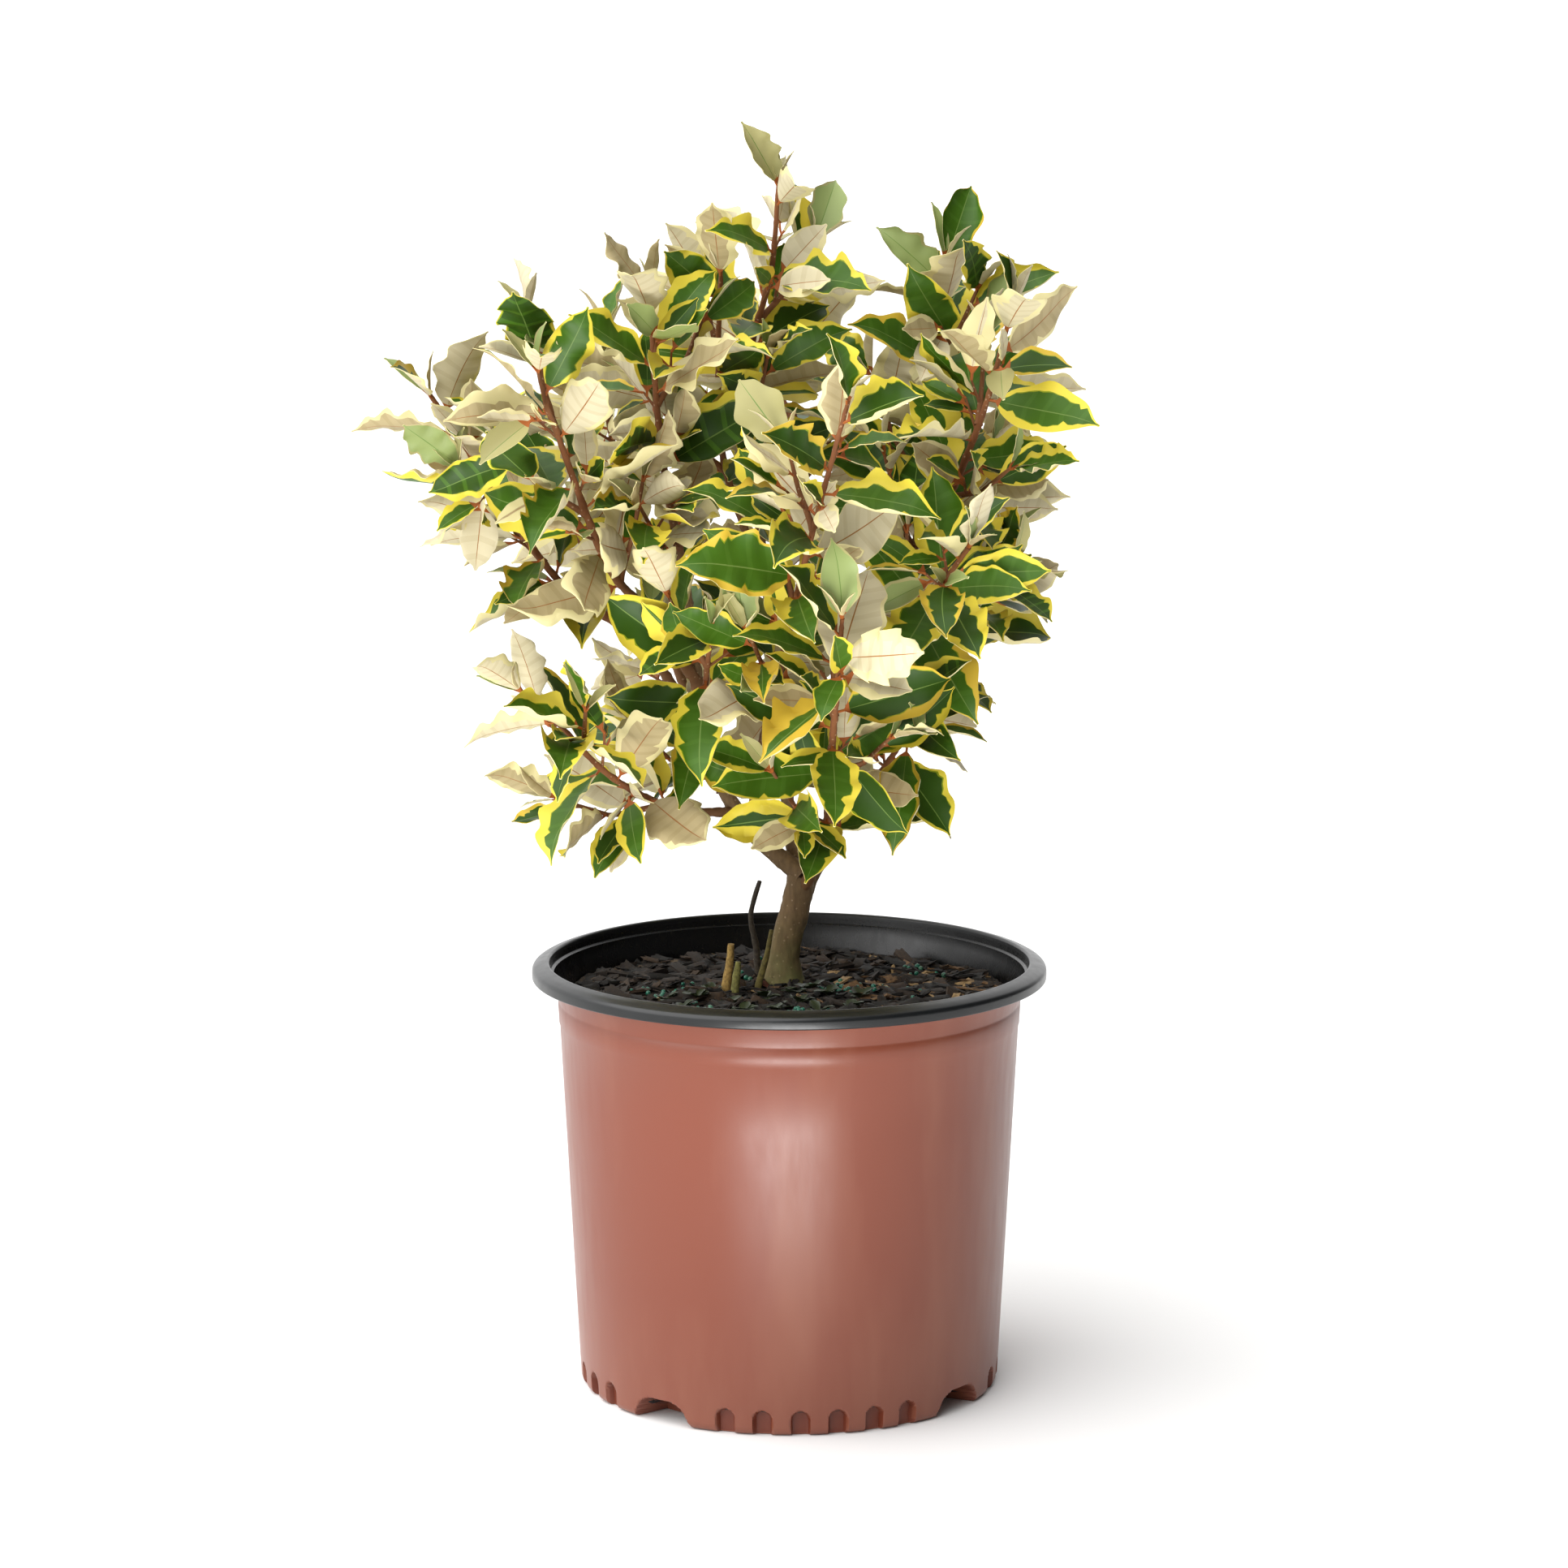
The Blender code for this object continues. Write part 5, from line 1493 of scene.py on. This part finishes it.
def add_trunk(batch, ages):
    """The trunk's tube, from a little under the mix to the fork."""
    places = [limb_lines_made["trunk"][0] - UP * TRUNK_SUNK] + limb_lines_made["trunk"]
    line = stretch_of(smooth_line(places, 2 * MM), 0.0, 1.0, TRUNK_RING)
    radii = [trunk_radius(place.z) for place in line]
    placed, faces = bent_tube(line, radii, TRUNK_SIDES, TRUNK_RELIEF)[:2]
    batch.add(placed, faces)
    ages.append(np.ones(len(placed)))


def aged_mesh(batch, ages, name):
    """A batch as a mesh that keeps the age of its bark as an attribute."""
    mesh = batch.mesh(name)
    mesh.attributes.new("age", "FLOAT", "POINT").data.foreach_set("value", np.concatenate(ages))
    return mesh


def mass_nodes(names):
    """The plain masses of foliage of some limbs."""
    return [name + "_leaves" for name in names]


old_wood, old_ages = Batch(), []
add_trunk(old_wood, old_ages)
for name in OLD_LIMBS:
    add_limb(old_wood, name, old_ages)
old_nodes = ["trunk", *OLD_LIMBS]
add_piece("trunk_and_main_boughs", aged_mesh(old_wood, old_ages, "old_wood"), [bark], old_nodes)
young_wood, young_ages = Batch(), []
young_limbs = [name for name in LIMBS if name not in OLD_LIMBS]
for name in young_limbs:
    add_limb(young_wood, name, young_ages)
add_piece("side_boughs", aged_mesh(young_wood, young_ages, "young_wood"), [bark], young_limbs)

# %% [markdown]
# Twigs and spurs are young wood, thinner and smoother. They are one mesh, which with the leaves takes
# the place of the plain masses.

# %% Twigs and spurs
TWIG_RING = 3.0 * MM
TWIG_SIDES = 8
TWIG_AGE = 0.12
SPUR_RING = 3.5 * MM
SPUR_SIDES = 6
SPUR_AGE = 0.05
SPUR_TAPER = (1.3, 0.8)


def add_twigs():
    """All twigs and spurs as one mesh."""
    batch, ages = Batch(), []
    for name in LIMBS:
        for twig in masses[name][1]:
            line = stretch_of(twig, 0.0, 1.0, TWIG_RING)
            radii = swollen(line, twig_radii(line))
            placed, faces = bent_tube(line, radii, TWIG_SIDES)[:2]
            batch.add(placed, faces)
            ages.append(np.full(len(placed), TWIG_AGE))
        for spur in fine[name][0]:
            line = stretch_of(spur, 0.0, 1.0, SPUR_RING)
            radii = np.linspace(*SPUR_TAPER, len(line)) * SPUR_RADIUS
            placed, faces = bent_tube(line, radii, SPUR_SIDES)[:2]
            batch.add(placed, faces)
            ages.append(np.full(len(placed), SPUR_AGE))
    return aged_mesh(batch, ages, "twigs")


add_piece("twigs_and_spurs", add_twigs(), [bark], mass_nodes(LIMBS))

# %% [markdown]
# ## Leaves
#
# The leaf of this variegated elaeagnus is leathery and oval, with a wavy, partly rolled margin and a
# drawn-out tip that curls back. Above, it is dark green with a jagged bright yellow margin that runs in
# along the side veins. Below, it is silver-beige with tiny scales, and its midrib is brown. Hundreds are
# needed, and no two are alike, so a flat two-sided blank is made once from a grid, and each leaf bends
# its own copy. The rows of the grid run along the blade and its columns across. In each leaf the columns
# move to where its colours meet, so a few faces draw a sharp, jagged edge with no picture.

# %% The blank of a leaf
SIDE_BANDS = 6
MARGIN_BAND = 5
LIME_BAND = 4


class LeafBlank:
    """A flat closed sheet. Each point knows its row, its side, its column and whether it is above."""

    def __init__(self, rows):
        shape = bmesh.new()
        bmesh.ops.create_grid(shape, x_segments=2 * SIDE_BANDS + 1, y_segments=rows, size=1.0)
        bmesh.ops.solidify(shape, geom=shape.faces[:], thickness=1.0)
        bmesh.ops.recalc_face_normals(shape, faces=shape.faces)
        points, self.faces = arrays_of(shape)
        self.rows = rows
        self.upper = (points[:, 2] > points[:, 2].mean()).astype(int)
        self.row = np.rint((points[:, 1] + 1) / 2 * rows).astype(int)
        line = np.rint((points[:, 0] + 1) / 2 * (2 * SIDE_BANDS + 1)).astype(int)
        self.side = (line > SIDE_BANDS).astype(int)
        self.column = np.where(self.side, line - SIDE_BANDS - 1, SIDE_BANDS - line)
        ups = self.upper[self.faces]
        self.top = ups.min(axis=1) > 0
        self.under = ups.max(axis=1) < 1
        sides = self.side[self.faces]
        self.face_row = np.minimum(self.row[self.faces].min(axis=1), rows - 1)
        band = self.column[self.faces].max(axis=1)
        self.face_band = np.where(sides.min(axis=1) != sides.max(axis=1), 0, band)


large_blank = LeafBlank(24)
small_blank = LeafBlank(12)
tiny_blank = LeafBlank(5)
print(len(large_blank.faces), "faces on a large leaf,", len(small_blank.faces), "on a small one")

# %% [markdown]
# First comes the pattern, because it decides where the columns lie. The limit between green and yellow
# swings slowly along the leaf, with a tooth at some side veins. It closes in towards the tip, which
# is often all yellow. A thin lime band softens it. The two sides of a leaf differ.

# %% Where the colours of a leaf meet
RIB_SHARE = 0.022
KINDS = {
    "edged": (0.70, 0.10),
    "gold": (0.16, 0.10),
    "green": (0.93, 0.03),
    "young": (0.88, 0.05),
}
TOOTH_SHARE = 0.17
TOOTH_DEPTH = 0.26
LIMIT_SWING = 0.075
LIMIT_WAVES = (0.8, 2.2)
LIMIT_ROUGH = 0.045
LIME_WIDTH = (0.01, 0.09)
TIP_FROM = 0.84
TIP_CLOSES = 0.42


def colour_columns(rows, kind, pick):
    """The columns of each side at each row, as shares of the half width from the midrib to the margin."""
    middle, spread = KINDS[kind]
    along = np.linspace(0, 1, rows + 1)
    base = np.clip(middle + pick.normal(0, spread, (2, 1)), 0.1, 0.95)
    turns = pick.uniform(*LIMIT_WAVES, (2, 1)) * along + pick.random((2, 1))
    swing = LIMIT_SWING * np.sin(2 * np.pi * turns)
    rough = pick.normal(0, LIMIT_ROUGH, (2, rows + 1))
    fine = 0.5 * (rough + np.roll(rough, 1, axis=1))
    teeth = (pick.random((2, rows + 1)) < TOOTH_SHARE) * pick.uniform(0.3, 1, (2, rows + 1)) * TOOTH_DEPTH
    tip = TIP_CLOSES * np.clip((along - TIP_FROM) / (1 - TIP_FROM), 0, 1)
    limit = np.clip(base + swing + fine - teeth * (kind == "edged") - tip, 0.12, 0.965)
    lime = pick.uniform(*LIME_WIDTH, (2, rows + 1)) * limit
    inner = [RIB_SHARE + 0 * limit, 0.36 * limit, 0.70 * limit, limit - lime, limit]
    outer = [limit + 0.5 * (1 - limit), 1 + 0 * limit]
    return np.stack(inner + outer, axis=1)


print("yellow from", KINDS["edged"][0], "of the half width")

# %% [markdown]
# The outline is a broad oval with a drawn-out tip, on a short stalk. In the plane of the leaf, its
# margin swings a little, and out of the plane it ripples, more the further it is from the midrib. Then
# the whole leaf folds, droops, twists, and hooks back at its tip. The rows lean forward towards the
# margin like side veins.

# %% The form of a leaf
PETIOLE = 0.10
CHEVRON = 0.34
HOOK_FROM = 0.72
STALK_HALF = 0.7 * MM
LEAF_SHEET = 0.5 * MM
STALK_SHEET = 1.3 * MM


def outline(blade):
    """Half the width of the blade as a share of the most, along the blade from 0 to 1."""
    oval = np.sin(np.pi * np.clip(blade, 0, 1) ** 0.92) ** 0.74
    point = smooth_step((1 - blade) / 0.15)
    return oval * (0.32 + 0.68 * point)


def leaf_habit(chance, small=False):
    """What makes one leaf unlike the next: waves, ripple, roll of the margin, twist, bend and hook."""
    calm = 0.5 if small else 1.0
    return {
        "waves": chance.uniform(2.0, 4.2),
        "phases": (chance.uniform(0, 6.28), chance.uniform(0, 6.28)),
        "ripple": chance.uniform(0.08, 0.26) * calm,
        "swing": chance.uniform(0.04, 0.12) * calm,
        "roll": chance.triangular(-0.12, 0.50, 0.04) * calm,
        "twist": math.radians(chance.gauss(0, 15)) * calm,
        "bend": chance.gauss(0, 0.05),
        "hook": chance.uniform(0.1, 1.4) * calm,
    }


def shaped_leaf(blank, leaf, habit, columns):
    """The blank's points bent to one leaf in its place."""
    root, along, face, length, width, droop, fold = leaf
    side = along.cross(face).normalized()
    reach = columns[blank.side, blank.column, blank.row]
    way = 2 * blank.side - 1
    start = blank.row / blank.rows
    blade = np.clip((start - PETIOLE) / (1 - PETIOLE), 0, 1)
    blade = blade + CHEVRON * reach * blade * (1 - blade)
    share = np.where(start < PETIOLE, start, PETIOLE + (1 - PETIOLE) * blade)
    phase = np.where(way < 0, *habit["phases"])
    wave = np.sin(2 * np.pi * habit["waves"] * blade + phase)
    full = width / 2 * outline(blade)
    half = np.maximum(full * (1 + habit["swing"] * wave), STALK_HALF)
    lifted = reach ** 1.25 * fold + habit["ripple"] * wave * reach ** 2 * smooth_step(blade / 0.2)
    rolled = np.clip((reach - 0.5) / 0.5, 0, 1) ** 2 * habit["roll"]
    x = way * reach * half * (1 - 0.4 * np.abs(rolled) - 0.12 * fold)
    z = full * (lifted + rolled) - droop * length * share ** 2
    z = z - habit["hook"] * length * np.clip(share - HOOK_FROM, 0, 1) ** 2
    stalk = smooth_step((PETIOLE + 0.06 - start) / 0.08)
    sheet = LEAF_SHEET * (1 - 0.5 * reach) + (STALK_SHEET - LEAF_SHEET) * stalk
    z = z + (blank.upper - 0.5) * sheet
    angle = habit["twist"] * (share - 0.15)
    x, z = x * np.cos(angle) - z * np.sin(angle), x * np.sin(angle) + z * np.cos(angle)
    x = x + habit["bend"] * length * share ** 2
    y = length * share
    return np.array(root) + np.stack([x, y, z], axis=1) @ np.array([side, along, face])


print("a leaf is", LEAF_SHEET / MM, "mm thick")

# %% [markdown]
# A leaf's upper side has a glossy cuticle over air-filled cells, so it is satin, with an index near 1.45.
# Every colour is a plain material: two yellows, three greens, a lime between them, a pale midrib, a
# cream edge and the beiges below, where the tans are the silver in painted shade. The faces of a leaf
# share these out.

# %% The colours of a leaf
LEAF_COLOURS = {
    "leaf_green_dark": ("2B490A", 0.44),
    "leaf_green": ("395D0D", 0.44),
    "leaf_green_sheen": ("3F6315", 0.45),
    "leaf_lime": ("829018", 0.44),
    "leaf_yellow": ("DCC942", 0.48),
    "leaf_gold": ("CBAC38", 0.48),
    "leaf_rib": ("647E3A", 0.46),
    "leaf_cream_edge": ("DDD39A", 0.5),
    "leaf_silver": ("C9BF9F", 0.55),
    "leaf_silver_vein": ("C2B796", 0.55),
    # The tan and tan vein are the silver and silver vein in painted shade.
    "leaf_tan": ("B0A078", 0.58),
    "leaf_tan_vein": ("A99970", 0.58),
    "leaf_under_rib": ("98693C", 0.6),
    "leaf_under_margin": ("D5CA96", 0.55),
    "leaf_young": ("8A985C", 0.48),
    "leaf_olive": ("A09A66", 0.5),
    "leaf_stalk": ("9C5627", 0.62),
}
ZONE = {name[5:]: i for i, name in enumerate(LEAF_COLOURS)}
LEAF_IOR = 1.45
LEAF_GLOSS = 0.3
GOLD_SHARE = 0.2
DARK_SHARE = 0.4
SHEEN_FROM = 0.3
SHEEN_ROWS = 4
YOUNG_GREEN_SHARE = 0.6
SILVER_NOT_PAINTED_SHADE_SHARE = 0.7
VEIN_ROWS = 3
leaf_finish = {"IOR": LEAF_IOR, "Specular_IOR_Level": LEAF_GLOSS}
leaf_looks = []
for name, (code, rough) in LEAF_COLOURS.items():
    leaf_looks.append(new_material(name, code, rough, **leaf_finish)[0])


def leaf_zones(blank, kind, pick):
    """The colour of every face: centre, lime and margin above; silver, on some leaves in painted shade, rib
    and margin below.
    """
    band, row = blank.face_band, blank.face_row
    yellow = ZONE["gold"] if pick.random() < GOLD_SHARE else ZONE["yellow"]
    tone = pick.random()
    green = np.full(len(band), ZONE["green_dark"] if tone < DARK_SHARE else ZONE["green"])
    by_vein = row % SHEEN_ROWS == pick.integers(SHEEN_ROWS)
    green = np.where(by_vein & (tone > SHEEN_FROM), ZONE["green_sheen"], green)
    if kind == "young":
        green = np.full(len(band), ZONE["young"] if pick.random() < YOUNG_GREEN_SHARE else ZONE["olive"])
    above = np.where(band >= MARGIN_BAND, yellow, np.where(band == LIME_BAND, ZONE["lime"], green))
    if kind == "young":
        above = np.where(band >= MARGIN_BAND, ZONE["olive"], green)
    above = np.where(band == 0, ZONE["rib"], above)
    # Three leaves in ten take the tan underside, which is the silver in painted shade.
    silver = "silver" if pick.random() < SILVER_NOT_PAINTED_SHADE_SHARE else "tan"
    below = np.where((row % VEIN_ROWS == 0) & (band < SIDE_BANDS), ZONE[silver + "_vein"], ZONE[silver])
    below = np.where(band >= MARGIN_BAND, ZONE["under_margin"], below) if kind != "young" else below
    below = np.where(band == 0, ZONE["under_rib"], below)
    zones = np.where(blank.under, below, above)
    zones = np.where(~blank.under & ~blank.top, ZONE["cream_edge"], zones)
    return np.where(row < PETIOLE * blank.rows, ZONE["stalk"], zones)


print(len(LEAF_COLOURS), "colours")

# %% [markdown]
# Most leaves are edged, a few are nearly all yellow or plain green, and small ones at the tips are often
# young and olive. Leaves twist on their stalks, so one in five shows its lower side where its upper side
# was. At the end of each shoot stand the youngest leaves, narrow and upright. Each leaf has its own
# seed, and the leaves are joined by the part of the crown that they belong to.

# %% Put the leaves on
FOLIAGE = {
    "foliage_front": ("front_low", "front_centre", "front_left", "right_middle"),
    "foliage_left": ("left_upper", "left_low", "left_outer", "left_stem"),
    "foliage_right": ("right_stem", "right_outer", "right_low"),
    "foliage_top": ("leader", "leader_side", "right_inner"),
    "foliage_back_left": ("back_left", "back_low_left"),
    "foliage_back_right": ("back_centre", "back_right", "back_low_right"),
}
KIND_SHARES = {"edged": 0.88, "gold": 0.06, "green": 0.06}
YOUNG_LENGTH = 0.050
YOUNG_SHARE = 0.18
TURNED_SHARE = 0.2
SHOOT_LEAVES = 2
SHOOT_LEAF = (0.020, 0.036)
SHOOT_ASPECT = 0.30
SHOOT_LEAN = (6.0, 30.0)
SHOOT_SWAY = 40
SHOOT_FROM = 0.995
LEAF_SEEDS = 2000


def turned_over(leaf):
    """The same leaf in the same place, with its lower side where its upper side was."""
    root, along, face, length, width, droop, fold = leaf
    return root, along, -face, length, width, -droop, -fold


def shoot_leaves(line, chance):
    """The youngest leaves at the end of a shoot."""
    tip, onward = place_at(line, SHOOT_FROM)
    leaves = []
    for i in range(SHOOT_LEAVES):
        lean = math.radians(chance.uniform(*SHOOT_LEAN))
        out = across(onward, 360 * i / SHOOT_LEAVES + chance.uniform(-SHOOT_SWAY, SHOOT_SWAY))
        along = (onward * math.cos(lean) + out * math.sin(lean)).normalized()
        face = (onward - along * along.dot(onward)).normalized()
        length = chance.uniform(*SHOOT_LEAF)
        leaves.append((tip, along, face, length, length * SHOOT_ASPECT, 0.1, 0.3))
    return leaves


def leaf_kind(length, chance):
    """Short leaves are sometimes young, and the rest are one of the grown kinds."""
    if length < YOUNG_LENGTH and chance.random() < YOUNG_SHARE:
        return "young"
    return chance.choices(tuple(KIND_SHARES), tuple(KIND_SHARES.values()))[0]


def add_leaf(batch, blank, leaf, kind, chance):
    """One leaf, bent and coloured by its own seed."""
    habit = leaf_habit(chance, blank is small_blank)
    pick = np.random.default_rng(chance.getrandbits(32))
    columns = colour_columns(blank.rows, kind, pick)
    batch.add(shaped_leaf(blank, leaf, habit, columns), blank.faces, leaf_zones(blank, kind, pick))


def add_leaves(batch, name):
    """All leaves of one mass."""
    chance = random.Random(LIMBS[name][6] + LEAF_SEEDS)
    stem, twigs, large = masses[name]
    for blank, leaves in ((large_blank, large), (small_blank, fine[name][1])):
        for leaf in leaves:
            kind = leaf_kind(leaf[3], chance)
            turned = turned_over(leaf) if chance.random() < TURNED_SHARE else leaf
            add_leaf(batch, blank, turned, kind, chance)
    for line in [stem] + twigs:
        for leaf in shoot_leaves(line, chance):
            add_leaf(batch, small_blank, leaf, "young", chance)


for piece, names in FOLIAGE.items():
    batch = Batch()
    for name in names:
        add_leaves(batch, name)
    add_piece(piece, batch.mesh(piece), leaf_looks, mass_nodes(names))

# %% [markdown]
# ## What stands in the mix
#
# A dry grey twig leans by the trunk, and three cut stubs stand where shoots were taken off. They are
# bent tubes like the boughs, with their own dull wood.

# %% The dead twig and the stubs
DEAD_TWIG = (((-18, 40, 226), (-19, 38, 243), (-22, 34, 262), (-17, 31, 283)), 1.9)
STUBS = {
    "stub_tall": (((-36, 4, 226), (-34, 3, 240), (-33, 2, 252)), 2.7),
    "stub_green": (((-31, -4, 226), (-30, -4, 234), (-29, -4, 243)), 2.4),
    "stub_olive": (((-18, 8, 226), (-13, 12, 243), (-10, 14, 258)), 1.9),
}
STUB_LOOKS = {"dead_twig": "3E362C", "stub_tall": "9A7C42", "stub_green": "74703A", "stub_olive": "5E5426"}
STUB_RING = 3 * MM
STUB_SUNK = 4 * MM
STUB_SIDES = 14
STUB_RELIEF = 0.4 * MM


def add_stub(name, places, radius):
    """One dry stub, from a little under the mix to its cut end."""
    line = smooth_line([Vector(place) * MM for place in places], STUB_RING)
    line = [line[0] - UP * STUB_SUNK] + line
    radii = [radius * MM * (1.1 - 0.4 * i / (len(line) - 1)) for i in range(len(line))]
    placed, faces = bent_tube(line, radii, STUB_SIDES, STUB_RELIEF)[:2]
    batch = Batch()
    batch.add(placed, faces)
    look = dry_flake("cut_wood_" + name, STUB_LOOKS[name])
    add_piece(name + "_wood", batch.mesh(name), [look], [name])


for name, (places, radius) in {"dead_twig": DEAD_TWIG, **STUBS}.items():
    add_stub(name, places, radius)

# %% [markdown]
# Tiny weeds have seeded themselves in the mix before the trunk. Each is a rosette of small leaves,
# made from a leaf blank of few rows with plain green faces.

# %% Weeds
WEEDS = (
    (-14, -18), (6, -30), (22, -12), (-34, -34), (34, -40), (12, 8), (-52, -20), (-8, -46), (-26, -58),
    (16, -62), (-44, -4), (-60, -42), (2, -8), (-70, -18), (40, -16), (-2, -78), (-40, -76), (28, -84),
)
WEED_LEAVES = 7
WEED_TURN = 60
WEED_SWAY = 20
WEED_RISE = (0.2, 0.9)
WEED_LENGTH = (5, 10)
WEED_ASPECT = 0.8
WEED_LIFT = 1.5 * MM


def add_weeds():
    """A rosette of leaves at each weed's place."""
    chance = random.Random(77)
    batch = Batch()
    for x, y in WEEDS:
        x, y = x * MM, y * MM
        root = Vector((x, y, mix_height(x, y) + WEED_LIFT))
        for i in range(WEED_LEAVES):
            turn = math.radians(WEED_TURN * i + chance.uniform(-WEED_SWAY, WEED_SWAY))
            along = Vector((math.cos(turn), math.sin(turn), chance.uniform(*WEED_RISE))).normalized()
            face = (UP - along * along.z).normalized()
            length = chance.uniform(*WEED_LENGTH) * MM
            leaf = (root, along, face, length, length * WEED_ASPECT, 0.1, 0.2)
            columns = colour_columns(tiny_blank.rows, "green", np.random.default_rng(i))
            points = shaped_leaf(tiny_blank, leaf, leaf_habit(chance, True), columns)
            batch.add(points, tiny_blank.faces)
    return batch.mesh("weeds")


weed = new_material("weed_green", "1E2A0C", 0.5)[0]
add_piece("weeds", add_weeds(), [weed], ["potting_mix"])
